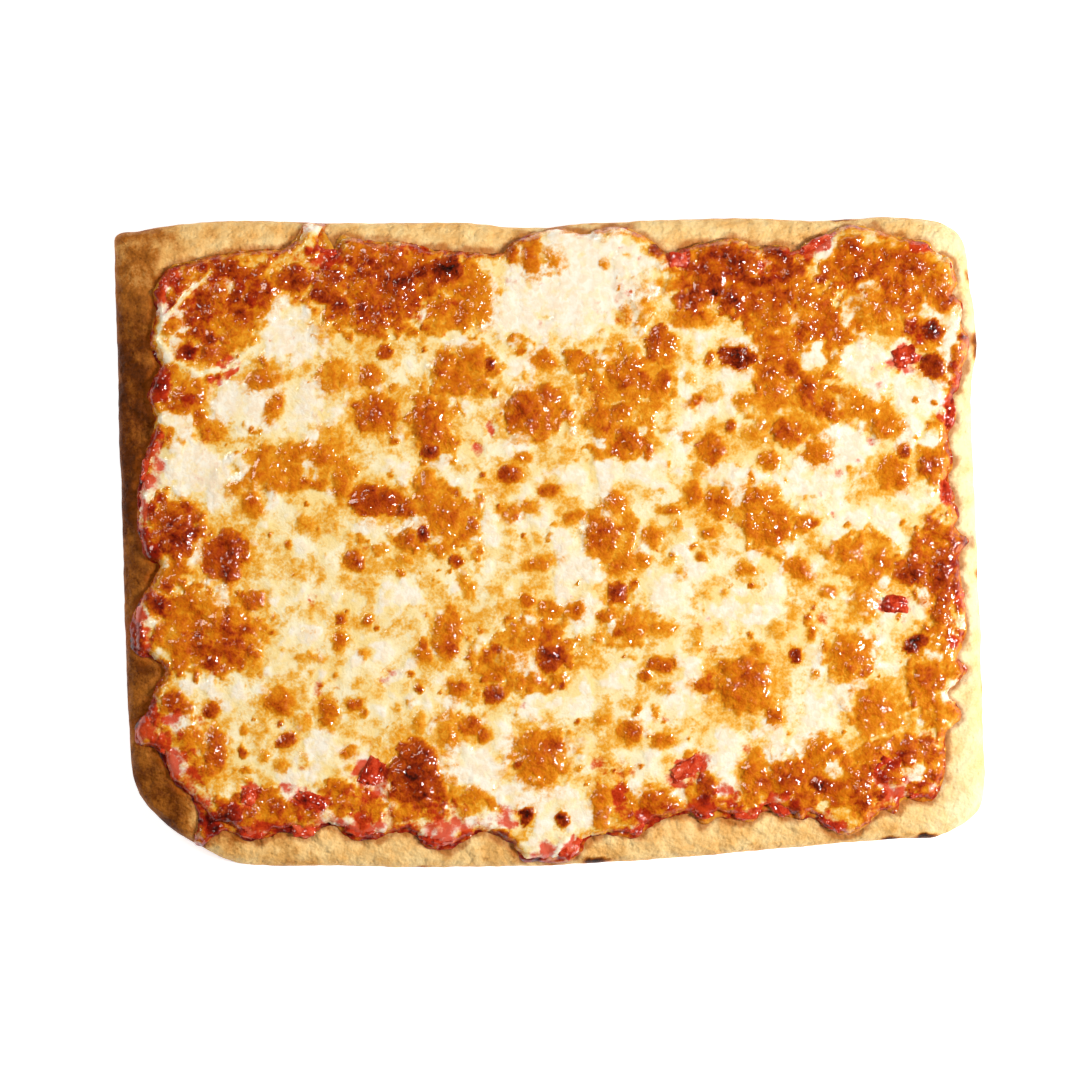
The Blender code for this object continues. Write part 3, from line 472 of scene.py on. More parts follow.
def fading(outer, inner):
    """The shape of a patch with no strength outside one share of its size and all of it inside another."""
    return lambda share, patch: patch.strength * ease(outer, inner, share)


def from_lines(x, y, lines):
    """How far each point lies from the nearest of these lines through plan points."""
    away = np.full(x.shape, 1e9)
    for line in lines:
        for (ax, ay), (bx, by) in zip(line, line[1:]):
            dx, dy = bx - ax, by - ay
            share = np.clip(((x - ax) * dx + (y - ay) * dy) / (dx * dx + dy * dy), 0, 1)
            away = np.minimum(away, np.hypot(ax + share * dx - x, ay + share * dy - y))
    return away


def bread_top(depth):
    """The height of the bread at a depth inside its outline, on its upper side."""
    upper = BREAD_PROFILE[WIDEST:]
    return np.interp(depth, [p[0] for p in upper], [p[1] for p in upper])


def random_spots(count, seed, least, most):
    """Small round spots over the whole plan, most of them near the least size."""
    draw = np.random.default_rng(seed)
    size = least + (most - least) * draw.random(count) ** 2.2
    x, y = draw.uniform(*STREWN_X, count), draw.uniform(*STREWN_Y, count)
    length, width = size * draw.uniform(0.8, 1.5, count), size * draw.uniform(0.7, 1.1, count)
    turn, strength = draw.uniform(0, 180, count), draw.uniform(0.38, 0.68, count)
    return [Patch(*row) for row in zip(x, y, length, width, strength, turn)]


def browning(share, patch):
    """How toasted a blister is: dark in its middle, golden at its edge, with a pale gold ring."""
    full = patch.strength * (0.6 + 0.32 * patch.strength)
    core = full * (1 - 0.18 * ease(0.1, 1.0, share)) * ease(1.16, 0.98, share)
    near, far = 0.42 * ease(1.4, 1.0, share), 0.31 * ease(2.5, 1.15, share)
    ring = min(1.0, 1.4 * patch.strength) * np.maximum(near, far)
    return np.maximum(core, ring)


def golden_stain(share, patch):
    """How toasted a golden zone is: even in its middle, with a clear edge and a soft pale surround."""
    return patch.strength * (0.55 * ease(1.45, 0.7, share) + 0.45 * ease(0.98, 0.8, share))


def blister_dome(share, patch):
    """The swell of a browned blister: steep at its edge, and higher where it is larger and darker."""
    full = (0.35 + 0.11 * min(patch.length, patch.width)) * (0.5 + 0.7 * patch.strength)
    return full * np.clip(1 - share**2, 0, 1) ** 0.8


def cheese_looks(x, y, depth, settings):
    """How toasted, white and red the cheese is at each point, with painted shade in its folds, and how far
    it swells over its sheet.
    """
    # Unevenness, and places moved a little or a lot by it, so that no patch keeps an ellipse's edge
    lobes = layered(x, y, 6, 3, 3)
    near_x, near_y = x + 1.3 * layered(x, y, 8, 5, 2), y + 1.3 * layered(x, y, 8, 7, 2)
    wide_x, wide_y = x + 5 * layered(x, y, 18, 11, 3), y + 5 * layered(x, y, 18, 13, 3)
    mottle = layered(x, y, 9, 17, 3)
    lumps = layered(x, y, 6.5, 19, 2)
    rim = ease(6, 0, depth)
    clouds = layered(x, y, 20, 133, 3) + 0.4 * mottle

    # What the tables of patches give
    zones = gathered(wide_x, wide_y, GOLDEN_ZONES, golden_stain, 1.6, 0.4 * lobes)
    white = gathered(wide_x, wide_y, WHITE_POOLS, fading(1.35, 0.6), 1.6, 0.7 * lobes)
    spots = random_spots(settings.spot_count, 4, 0.9, 3.2)
    small = gathered(near_x, near_y, spots, fading(1.6, 0.4), 1.8, 0.3 * lobes)
    brown = gathered(near_x, near_y, BLISTERS, browning, 2.6, 0.35 * lobes)
    red = gathered(near_x, near_y, RED_PATCHES, fading(1.4, 0.7), 1.6, 0.5 * lobes)
    strand = 0.85 * ease(1.9, 0.6, from_lines(near_x, near_y, STRANDS) + 1.1 * lobes)

    # The browning between them, held back where the cheese is white, with the blisters over all of it
    patchy = 0.98 + 0.28 * mottle + 0.22 * layered(x, y, 13, 137, 2)
    toast = np.maximum(zones * patchy, np.minimum(0.17 + 0.3 * clouds + 0.08 * mottle, 0.29))
    white = np.maximum(white, 0.85 * ease(-0.1, -0.4, clouds))
    toast = np.maximum(toast, small * (1 - 0.35 * white))
    toast = np.maximum(toast, rim * (0.52 + 0.4 * mottle))
    toast = toast * (1 - white * (0.72 + 0.5 * mottle))
    toast = np.maximum(toast, brown)
    toast = (toast + 0.11 * lumps * ease(0.3, 0.55, toast)) * (1 - 0.7 * strand) * settings.toast
    white = np.maximum(white, 0.6 * strand)

    # Tomato that shows through, torn into flecks
    torn = np.clip(0.72 + 0.9 * layered(x, y, 7, 23, 3) + 0.3 * lumps, 0, 1.2)
    red = (red * torn + 0.3 * rim * (1 + mottle)) * (1 - 0.85 * strand)
    flecks = random_spots(settings.fleck_count, 9, 0.8, 3.6)
    strewn = 0.9 * gathered(near_x, near_y, flecks, fading(1.5, 0.4), 1.6, 0.5 * lobes)
    red = np.maximum(red, strewn * ease(-0.25, 0.3, layered(x, y, 24, 131, 2)))

    # The swell of the surface, with painted shade darkening its folds
    browned = ease(0.35, 0.6, toast)
    folds_and_crease_shade = ease(0.16, 0.0, np.abs(layered(x + 3 * mottle, y, 11, 127, 2))) * browned
    # Painted shade: the folds are made darker in colour
    toast = toast + 0.07 * folds_and_crease_shade
    rise = gathered(near_x, near_y, BLISTERS, blister_dome, 1.3, 0.3 * lobes) - 0.7 * folds_and_crease_shade
    rise += gathered(near_x, near_y, spots, lambda s, p: 0.4 * np.sqrt(np.clip(1 - s * s, 0, 1)), 1.2)
    rise += browned * (0.8 * lumps + 0.5 * mottle) + 0.7 * strand
    rise += 0.6 * ease(0.28, 0.46, zones) + 0.35 * ease(0.3, 0.8, white)
    rise += 0.55 * noise(x, y, 26, 31) + 0.3 * noise(x, y, 11, 37)
    rise -= 0.7 * np.clip(red, 0, 1) * (1 - browned)
    return np.clip(toast, 0, 1), np.clip(white, 0, 1), np.clip(red, 0, 1), rise


def new_object(name, points, faces, layers, material):
    """A smooth mesh piece in millimetres on the plan, set in place with its colour layers and material."""
    mesh = bpy.data.meshes.new(name)
    placed = np.array(points, float)
    placed[:, :2] -= CENTRE
    mesh.from_pydata(placed * MM, [], faces)
    mesh.validate()
    for layer, values in layers.items():
        attribute = mesh.attributes.new(layer, "FLOAT", "POINT")
        attribute.data.foreach_set("value", np.asarray(values, np.float32))
    mesh.shade_smooth()
    mesh.materials.append(material)
    piece = bpy.data.objects.new(name, mesh)
    bpy.context.scene.collection.objects.link(piece)
    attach(piece, "root")
    return piece


def ring_solid(rings):
    """Points and faces of a closed solid from rings of one length, lowest first, capped at both ends."""
    count, around = len(rings), len(rings[0])
    points = np.concatenate(rings)
    here = np.arange(around)
    there = np.roll(here, -1)
    faces = []
    for k in range(count - 1):
        quads = np.stack([here, there, there + around, here + around], axis=1) + k * around
        faces += quads[:, ::-1].tolist()
    faces.append(here.tolist())
    faces.append((here[::-1] + (count - 1) * around).tolist())
    return points, faces


class Nodes:
    """Builds a material's nodes in a few words. A value is a number or another node's output."""

    def __init__(self, name):
        self.material = bpy.data.materials.new(name)
        self.material.use_nodes = True
        self.tree = self.material.node_tree
        self.shader = self.tree.nodes["Principled BSDF"]
        self.place = self.tree.nodes.new("ShaderNodeTexCoord").outputs["Object"]

    def fill(self, node, inputs):
        """The node with these inputs by name or number."""
        for key, value in inputs.items():
            if hasattr(value, "is_output"):
                self.tree.links.new(value, node.inputs[key])
            else:
                node.inputs[key].default_value = value
        return node

    def new(self, kind, inputs, **settings):
        """A new node of that kind, with its settings and then its inputs."""
        node = self.tree.nodes.new(f"ShaderNode{kind}")
        for key, value in settings.items():
            setattr(node, key, value)
        return self.fill(node, inputs)

    def layer(self, name):
        """A colour layer of the mesh."""
        return self.new("Attribute", {}, attribute_name=name).outputs["Fac"]

    def noise(self, size, detail=3.0, roughness=0.55, distortion=0.0):
        """Noise from 0 to 1 with lumps of that size in metres."""
        inputs = {"Vector": self.place, "Scale": 1 / size, "Detail": detail}
        inputs |= {"Roughness": roughness, "Distortion": distortion}
        return self.new("TexNoise", inputs).outputs["Fac"]

    def cells(self, size):
        """The distance from the middles of cells of that size in metres."""
        return self.new("TexVoronoi", {"Vector": self.place, "Scale": 1 / size}).outputs["Distance"]

    def add(self, a, b, clamp=False):
        return self.new("Math", {0: a, 1: b}, operation="ADD", use_clamp=clamp).outputs[0]

    def times(self, a, b):
        return self.new("Math", {0: a, 1: b}, operation="MULTIPLY").outputs[0]

    def map(self, value, low, high, out_low=0.0, out_high=1.0):
        """The value carried smoothly from one range to another, and held at its ends."""
        inputs = dict(enumerate((value, low, high, out_low, out_high)))
        return self.new("MapRange", inputs, interpolation_type="SMOOTHSTEP").outputs[0]

    def ramp(self, value, stops):
        """A colour from pairs of a place from 0 to 1 and an sRGB hex string."""
        node = self.new("ValToRGB", {"Fac": value})
        elements = node.color_ramp.elements
        while len(elements) > 1:
            elements.remove(elements[0])
        elements[0].position = stops[0][0]
        elements[0].color = from_srgb(stops[0][1])
        for place, colour in stops[1:]:
            elements.new(place).color = from_srgb(colour)
        return node.outputs["Color"]

    def mix(self, share, a, b, kind="MIX"):
        inputs = {"Factor": share, "A": a, "B": b}
        return self.new("Mix", inputs, data_type="RGBA", blend_type=kind).outputs["Result"]

    def bump(self, height, distance):
        """A normal from a height from 0 to 1 and what 1 stands for in metres."""
        inputs = {"Strength": 1.0, "Distance": distance, "Height": height}
        return self.new("Bump", inputs).outputs["Normal"]

    def wet(self, weight, roughness, normal):
        """A clear wet film with its own fine ripples, which makes the small bright glints."""
        inputs = {"Coat Weight": weight, "Coat IOR": OIL_IOR}
        self.fill(self.shader, inputs | {"Coat Roughness": roughness, "Coat Normal": normal})

    def finish(self, colour, normal, shine):
        """The material, half rough under any wet film."""
        inputs = {"Base Color": colour, "Roughness": 0.5, "Normal": normal}
        self.fill(self.shader, inputs | {"Specular IOR Level": shine})
        return self.material


def from_srgb(colour):
    """A colour written as a hex string or given as numbers, as linear red, green, blue and alpha."""
    if isinstance(colour, str):
        values = [int(colour[k : k + 2], 16) / 255 for k in (0, 2, 4)]
        values = [v / 12.92 if v < 0.04045 else ((v + 0.055) / 1.055) ** 2.4 for v in values]
        return (*values, 1.0)
    return (*colour[:3], 1.0)


def bread_finish(settings):
    """Baked bread: tan with a fine grain, darker where it is more baked, with painted shade at its left and
    painted light at its right, painted shade in its pores, orange beside the toppings where oil stains it
    along with a painted shadow of their edge, and black where it is scorched.
    """
    n = Nodes("baked_bread")
    # How baked the bread is, with painted shade at its left and painted light at its right
    bake_and_painted_light = n.layer("bake_and_painted_light")
    grain = n.noise(0.0009, 4, 0.7)
    blotch = n.noise(0.009, 4, 0.6)
    level = n.add(bake_and_painted_light, n.map(blotch, 0.25, 0.75, -0.12, 0.12))
    level = n.add(level, n.map(grain, 0.3, 0.7, -0.04, 0.04))
    pores_and_pore_shade = n.map(n.cells(0.0034), 0.05, 0.3, 1.0, 0.0)
    # The pores a little darker: painted shade in them
    level = n.add(level, n.times(pores_and_pore_shade, 0.05), clamp=True)
    colour = n.ramp(
        level,
        (
            (0.0, "FFECBA"), (0.2, "FAD694"), (0.4, "ECB466"), (0.6, "B26A22"), (0.8, "6C3305"),
            (1.0, "140501"),
        ),  # fmt: skip
    )
    tint = n.mix(1.0, colour, from_srgb(settings.colour), "MULTIPLY")
    # Orange beside the toppings: an oil stain, and partly a painted shadow of their edge
    oil_stain_and_shadow = n.add(n.layer("oil_stain_and_shadow"), n.map(blotch, 0.3, 0.7, -0.3, 0.3))
    tint = n.mix(n.map(oil_stain_and_shadow, 0.2, 1.0, 0.0, 0.75), tint, from_srgb("A8540A"))
    relief = n.add(n.times(pores_and_pore_shade, -0.2), n.times(grain, 0.25))
    relief = n.add(relief, n.times(n.noise(0.0026, 2, 0.5), 0.7))
    relief = n.add(relief, n.times(n.noise(0.0055, 2, 0.5), 2.0))
    return n.finish(tint, n.bump(relief, 0.0011), 0.08)


def sauce_finish(settings):
    """Wet tomato sauce: deep red with seeds and pulp, and orange where oil has parted from it."""
    n = Nodes("wet_sauce")
    oil = n.layer("oil")
    pulp = n.noise(0.003, 4, 0.6)
    level = n.add(oil, n.map(pulp, 0.25, 0.75, -0.22, 0.22), clamp=True)
    colour = n.ramp(
        level,
        (
            (0.0, "440500"), (0.25, "7A1000"), (0.42, "A42204"), (0.55, "B43C06"), (0.7, "C8660C"),
            (1.0, "DE982A"),
        ),  # fmt: skip
    )
    colour = n.mix(1.0, colour, from_srgb(settings.colour), "MULTIPLY")
    relief = n.add(pulp, n.times(n.noise(0.0014, 1), 0.5))
    n.wet(0.6, 0.1, n.bump(n.noise(0.003, 0), 0.0018))
    return n.finish(colour, n.bump(relief, 0.0008), 0.05)


def cheese_finish(settings):
    """Melted cheese: cream and gold, toasted brown to black on its blisters, wet with oil."""
    n = Nodes("melted_cheese")
    toast, white, red = n.layer("toast"), n.layer("white"), n.layer("red")
    fine = n.noise(0.0012, 1, 0.5)
    curd = n.noise(0.0032, 2, 0.5, 0.4)
    patchy = n.noise(0.012, 4, 0.6, 0.3)
    waver = n.add(n.map(fine, 0.3, 0.7, -0.035, 0.035), n.map(curd, 0.3, 0.7, -0.06, 0.06))
    waver = n.add(waver, n.map(n.noise(0.0026, 1, 0.5), 0.64, 0.76, 0.0, 0.06))
    level = n.add(toast, waver, clamp=True)
    cream = n.mix(n.map(patchy, 0.35, 0.65), from_srgb("FFF4D0"), from_srgb("FBDE94"))
    toasted = n.ramp(
        level,
        (
            (0.0, "FCECC0"), (0.14, "FADE9C"), (0.24, "F5C566"), (0.34, "ECA026"), (0.44, "DE820E"),
            (0.54, "D06C06"), (0.64, "BE5204"), (0.74, "A63A04"), (0.84, "842200"), (0.93, "501000"),
            (1.0, "1C0500"),
        ),  # fmt: skip
    )
    colour = n.mix(n.map(level, 0.06, 0.3), cream, toasted)
    pale = n.mix(n.map(curd, 0.35, 0.65), from_srgb("FFF7E4"), from_srgb("FBE8CA"))
    clouds = n.map(n.noise(0.007, 4, 0.6), 0.3, 0.7, -0.6, 0.3)
    whiteness = n.map(n.add(n.add(white, waver), clouds), 0.1, 0.9)
    whiteness = n.times(whiteness, n.map(level, 0.42, 0.2))
    colour = n.mix(whiteness, colour, pale)
    tomato = n.ramp(
        level, ((0.0, "E4583A"), (0.35, "D03A14"), (0.6, "A82004"), (0.85, "5C0A00"), (1.0, "240200"))
    )
    redness = n.map(n.add(red, n.times(waver, 2.0)), 0.2, 0.8, 0.0, 0.95)
    colour = n.mix(redness, colour, tomato)
    bump_size = n.map(toast, 0.2, 0.6, 0.42, 1.0)
    relief = n.times(n.add(curd, n.times(fine, 0.35)), bump_size)
    clusters = n.times(bump_size, n.map(n.noise(0.009, 2), 0.38, 0.62, 0.3, 1.2))
    n.wet(0.6, 0.08, n.bump(n.times(n.noise(0.004, 2, 0.5), clusters), 0.0014))
    return n.finish(colour, n.bump(relief, 0.0011), 0.05)


def tomato_finish(settings):
    """Cooked tomato flesh: bright wet red, paler along its fibres and darker where it is singed."""
    n = Nodes("cooked_tomato")
    flesh = n.noise(0.0032, 4, 0.6, 0.5)
    fine = n.noise(0.0008, 3)
    level = n.add(n.layer("singed"), n.map(flesh, 0.25, 0.75, -0.3, 0.3), clamp=True)
    colour = n.ramp(
        level, ((0.0, "F07850"), (0.3, "E04C26"), (0.55, "C83410"), (0.8, "981C02"), (1.0, "4A0600"))
    )
    colour = n.mix(1.0, colour, from_srgb(settings.colour), "MULTIPLY")
    relief = n.add(flesh, n.times(fine, 0.4))
    n.wet(0.9, 0.08, n.bump(n.noise(0.0026, 0), 0.0015))
    return n.finish(colour, n.bump(relief, 0.0009), 0.05)


def length_setting(name, description, default, **limits):
    """A setting that is a length, with its default in millimetres."""
    return FloatProperty(name=name, description=description, default=default * MM, unit="LENGTH", **limits)


def power_setting(name, description, default):
    """A setting that is a lamp's power in watts."""
    return FloatProperty(name=name, description=description, default=default, unit="POWER")


def tint_setting(description):
    """A setting that is a colour over the material's own, white by default."""
    white = (1.0, 1.0, 1.0)
    return FloatVectorProperty(name="Colour", description=description, default=white, subtype="COLOR")


class PizzaBread(bpy.types.PropertyGroup):
    """Sizes and colour of the bread."""

    step: length_setting("Step", "Spacing of the bread's points", 1.3, min=0.5 * MM)
    unevenness: length_setting("Unevenness", "How far the dough wanders", 0.45)
    colour: tint_setting("Tint of the bread")


class PizzaSauce(bpy.types.PropertyGroup):
    """Sizes and colour of the tomato sauce."""

    step: length_setting("Step", "Spacing of the sauce's points", 1.2, min=0.5 * MM)
    thickness: length_setting("Thickness", "Thickness where it shows", 1.6)
    colour: tint_setting("Tint of the sauce")


class PizzaCheese(bpy.types.PropertyGroup):
    """Sizes and browning of the cheese."""

    step: length_setting("Step", "Spacing of the cheese's points", 1.12, min=0.8 * MM)
    thickness: length_setting("Thickness", "Thickness away from the edge", 2.9)
    toast: FloatProperty(
        name="Toast", description="How browned it is", default=1.0, min=0.0, max=1.3, subtype="FACTOR"
    )
    spot_count: IntProperty(name="Small spots", description="Small browned spots", default=420, min=0)
    fleck_count: IntProperty(name="Flecks", description="Small flecks of tomato", default=300, min=0)


class PizzaTomato(bpy.types.PropertyGroup):
    """Size and colour of the tomato pieces."""

    height: length_setting("Height", "Height of a piece", 2.7)
    colour: tint_setting("Tint of the tomato")


class PizzaStage(bpy.types.PropertyGroup):
    """Camera and light."""

    lens: FloatProperty(name="Lens", description="Focal length in millimetres", default=150.0)
    camera_height: length_setting("Camera height", "Height of the camera over the floor", 2111.6)
    view_x: length_setting("View middle X", "What the camera is over, along x", -4.0)
    view_y: length_setting("View middle Y", "What the camera is over, along y", 0.9)
    key_power: power_setting("Key light", "Light from the right", 50.0)
    fill_power: power_setting("Fill light", "Light from the left", 18.0)
    surround: FloatProperty(name="Surround", description="Light from all round", default=0.09, min=0.0)


def bake_and_painted_light_level(x, y, height, on_side):
    """How baked the bread is, with painted light in it: more at the left, where it is partly more baked and
    partly painted shade, on its side and where it is scorched, and less at the right, which is painted
    light.
    """
    # Darker at the left: partly more baked, partly painted shade
    left_bake_and_shade = ease(-168, -188, x - 12 * ease(-85, -120, y) + 6 * layered(x, y, 24, 59, 3))
    down = ease(150, 70, y + 10 * layered(x, y, 30, 60, 2))
    level = 0.27 + left_bake_and_shade * (0.22 + 0.25 * down - 0.1 * ease(20, -20, y)) + 0.07 * ease(-60, -140, x)
    level = level + 0.04 * ease(-100, -140, y)
    level = level + 0.13 * (1 - 0.5 * left_bake_and_shade) * layered(x, y, 12, 61, 4)
    # Paler at the right: painted light
    level = level - 0.2 * ease(160, 198, x)
    side = ease(11, 4, height) if on_side else 0.0
    level = level + (0.26 - 0.1 * left_bake_and_shade) * side * (1 + 0.8 * noise(x, y, 16, 63))
    level = level + 0.16 * ease(2.0, 0.2, height)
    near_x, near_y = x + 1.5 * noise(x, y, 5, 67), y + 1.5 * noise(x, y, 5, 71)
    scorched = gathered(near_x, near_y, SCORCHES, fading(1.4, 0.3))
    return np.maximum(level, scorched * (0.9 + 0.3 * layered(x, y, 3, 73, 2)))


class BakeBread(bpy.types.Operator):
    """Make the bread base"""

    bl_idname = "pizza.bake_bread"
    bl_label = "Bread"

    def execute(self, context):
        settings = context.scene.pizza_bread
        step = settings.step / MM
        outline = smooth_loop(BREAD_OUTLINE, step)
        wander = settings.unevenness / MM
        x, y = outline[:, 0], outline[:, 1]
        push = wander * (noise(x, y, 18, 41) + 0.6 * noise(x, y, 5, 43))
        outline = outline + inward(outline) * push[:, None]

        profile = np.array(BREAD_PROFILE)
        run = np.concatenate([[0], np.cumsum(np.linalg.norm(np.diff(profile, axis=0), axis=1))])
        at = np.linspace(0, run[-1], round(run[-1] / step))
        depths, heights = (np.interp(at, run, profile[:, k]) for k in (0, 1))
        turning = int(np.argmin(depths))
        lower = rings_inward(outline, depths[: turning + 1][::-1], step, 5.0)[::-1]
        upper = rings_inward(outline, depths[turning:], step, 5.0)
        loops = lower + upper[1:]

        toppings = smooth_loop(SAUCE_OUTLINE, 3.0)
        rings, bake_and_painted_light, oil_stain_and_shadow = [], [], []
        for k, (loop, depth, height) in enumerate(zip(loops, depths, heights)):
            x, y = loop[:, 0], loop[:, 1]
            lift = 1.4 * noise(x, y, 14, 47) + 1.6 * layered(x, y, 6, 53, 3)
            share = np.clip(height / 8, 0, 1) if k <= turning else 1.0
            rings.append(np.stack([x, y, height + wander * lift * share * (height > 0.5)], axis=1))
            # How baked each point is, with painted shade at the left and painted light at the right
            bake_and_painted_light.append(bake_and_painted_light_level(x, y, height, k <= turning + 4))
            # An oil stain beside the toppings, partly a painted shadow of their edge
            oil_stain_and_shadow.append(ease(-5, 0.5, depth_inside(toppings, x, y) + 2 * layered(x, y, 8, 75, 2)))
        points, faces = ring_solid(rings)
        layers = {"bake_and_painted_light": np.concatenate(bake_and_painted_light), "oil_stain_and_shadow": np.concatenate(oil_stain_and_shadow)}
        piece = new_object("bread", points, faces, layers, bread_finish(settings))
        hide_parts("bread_base")
        return {"FINISHED"}


class SpreadSauce(bpy.types.Operator):
    """Make the tomato sauce"""

    bl_idname = "pizza.spread_sauce"
    bl_label = "Sauce"

    def execute(self, context):
        settings = context.scene.pizza_sauce
        step, thickness = settings.step / MM, settings.thickness / MM
        edge = smooth_loop(SAUCE_OUTLINE, step)
        x, y = edge[:, 0], edge[:, 1]
        wander = 0.9 * noise(x, y, 6, 79) + 0.5 * noise(x, y, 2.5, 83)
        edge = edge + inward(edge) * wander[:, None]
        bread = smooth_loop(BREAD_OUTLINE, 4.0)
        # The foot of the sauce first, which is drawn in a little, and then from its edge up and in
        depths = [0.35, 0.0, 0.25, 0.7, 1.3, *np.arange(2.4, 18, step)]
        loops = rings_inward(edge, depths[:1], step, 1.3) + rings_inward(edge, depths[1:], step, 1.3)
        rings, oil = [], []
        for k, (loop, depth) in enumerate(zip(loops, depths)):
            x, y = loop[:, 0], loop[:, 1]
            base = bread_top(depth_inside(bread, x, y))
            if k == 0:
                height = base - 0.5
            else:
                body = thickness * math.sqrt(max(0.0, 1 - (1 - min(depth / 5.5, 1)) ** 2))
                height = base + 0.15 + body * (1 + 0.7 * layered(x, y, 4.5, 89, 3))
            rings.append(np.stack([x, y, height], axis=1))
            golden = 0.3 * ease(-20, 150, x) + 0.4 * ease(100, 130, y)
            oil.append(0.42 + golden + 0.6 * layered(x, y, 8, 97, 3))
        points, faces = ring_solid(rings)
        layers = {"oil": np.concatenate(oil)}
        piece = new_object("sauce", points, faces, layers, sauce_finish(settings))
        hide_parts("tomato_sauce")
        return {"FINISHED"}


class MeltCheese(bpy.types.Operator):
    """Make the melted cheese"""

    bl_idname = "pizza.melt_cheese"
    bl_label = "Cheese"

    def execute(self, context):
        settings = context.scene.pizza_cheese
        step, thickness = settings.step / MM, settings.thickness / MM
        across, up = np.arange(*GRID_X, step), np.arange(*GRID_Y, step)
        x, y = (grid.ravel() for grid in np.meshgrid(across, up))
        depth = depth_inside(smooth_loop(SAUCE_OUTLINE, 2.5), x, y) - sauce_width(x, y)

        # The grid's cells that lie inside, and the points that they use
        rows, columns = len(up), len(across)
        inside = (depth > 0.3 * step).reshape(rows, columns)
        cell = largest_patch(opened(all_four(inside)))
        used = np.zeros((rows, columns), bool)
        for row, column in ((0, 0), (1, 0), (0, 1), (1, 1)):
            used[row : rows - 1 + row, column : columns - 1 + column] |= cell
        whole = np.zeros((rows, columns), bool)
        whole[1:-1, 1:-1] = all_four(cell)

        # The points on their border, moved on to the edge
        border = (used & ~whole).ravel()
        slope_y, slope_x = np.gradient(depth.reshape(rows, columns), step)
        slope = np.maximum(np.hypot(slope_x, slope_y), 0.5).ravel()
        move = np.where(border, np.clip(depth, -step, 2 * step) / slope**2, 0.0)
        x = x - slope_x.ravel() * move
        y = y - slope_y.ravel() * move
        depth = np.where(border, 0.0, depth)

        # The surface, rounded off to the rim
        toast, white, red, rise = cheese_looks(x, y, depth, settings)
        share = np.clip(depth / 3.6, 0, 1)
        rounded = np.sqrt(1 - (1 - share) ** 2)
        under = bread_top(depth_inside(smooth_loop(BREAD_OUTLINE, 4.0), x, y)) + CHEESE_LIFT
        top = under + CHEESE_LIP + (thickness - CHEESE_LIP + rise) * rounded
        index = np.full(rows * columns, -1)
        index[used.ravel()] = np.arange(np.count_nonzero(used))
        index = index.reshape(rows, columns)
        quads = np.stack([index[:-1, :-1], index[:-1, 1:], index[1:, 1:], index[1:, :-1]], axis=-1)[cell]
        keep = used.ravel()
        points = np.stack([x, y, top], axis=1)[keep]
        layers = {"toast": toast[keep], "white": white[keep], "red": red[keep]}
        points, faces, layers = closed_below(points, quads, under[keep], layers)
        piece = new_object("cheese", points, faces, layers, cheese_finish(settings))
        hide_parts("melted_cheese")
        return {"FINISHED"}


def sauce_width(x, y):
    """How wide the sauce shows outside the cheese near each point."""
    shows = 0.5 + np.zeros(x.shape)
    for place_x, place_y, reach, width in SAUCE_SHOWS:
        near = np.exp(-((x - place_x) ** 2 + (y - place_y) ** 2) / reach**2)
        shows = shows * (1 - near) + width * near
    shows += 1.2 * layered(x, y, 6, 101, 3) + 0.8 * noise(x, y, 3, 103)
    return np.maximum(shows, 0.2)


def all_four(grid):
    """Where all four neighbouring values of a grid are set, so the result is one smaller each way."""
    return grid[:-1, :-1] & grid[1:, :-1] & grid[:-1, 1:] & grid[1:, 1:]


def beside(cell):
    """How many of the four cells beside each one are set."""
    count = np.zeros(cell.shape, int)
    count[1:] += cell[:-1]
    count[:-1] += cell[1:]
    count[:, 1:] += cell[:, :-1]
    count[:, :-1] += cell[:, 1:]
    return count


def opened(cell):
    """The cells without those that hang on by less than two sides or only by a corner."""
    for _ in range(4):
        corner = np.zeros(cell.shape, bool)
        corner[:-1, :-1] |= cell[:-1, :-1] & cell[1:, 1:] & ~cell[1:, :-1] & ~cell[:-1, 1:]
        corner[:-1, 1:] |= cell[:-1, 1:] & cell[1:, :-1] & ~cell[:-1, :-1] & ~cell[1:, 1:]
        cell = cell & (beside(cell) >= 2) & ~corner
    return cell


def largest_patch(cell):
    """The cells that join up with the middle one, so that no loose island is left."""
    found = np.zeros(cell.shape, bool)
    found[cell.shape[0] // 2, cell.shape[1] // 2] = True
    while True:
        grown = cell & (found | (beside(found) > 0))
        if (grown == found).all():
            return found
        found = grown


def closed_below(points, quads, under, layers):
    """The sheet of quads closed with a short wall and one face below, and its layers carried on."""
    sides = np.concatenate([quads[:, [a, (a + 1) % 4]] for a in range(4)])
    keys = np.sort(sides, axis=1)
    _, first, count = np.unique(keys, axis=0, return_index=True, return_counts=True)
    rim = sides[first[count == 1]]
    follow = dict(rim.tolist())
    start = int(rim[0, 0])
    loop = [start]
    while follow[loop[-1]] != start:
        loop.append(follow[loop[-1]])
    if len(loop) != len(rim):
        raise RuntimeError("the cheese's edge isn't one loop")
    lower = points[loop].copy()
    lower[:, 2] = under[loop] - CHEESE_WALL
    first_new = len(points)
    faces = quads.tolist()
    count = len(loop)
    for k in range(count):
        a, b = loop[k], loop[(k + 1) % count]
        faces.append([b, a, first_new + k, first_new + (k + 1) % count])
    faces.append([first_new + k for k in range(count)][::-1])
    layers = {name: np.concatenate([values, values[loop]]) for name, values in layers.items()}
    return np.vstack([points, lower]), faces, layers


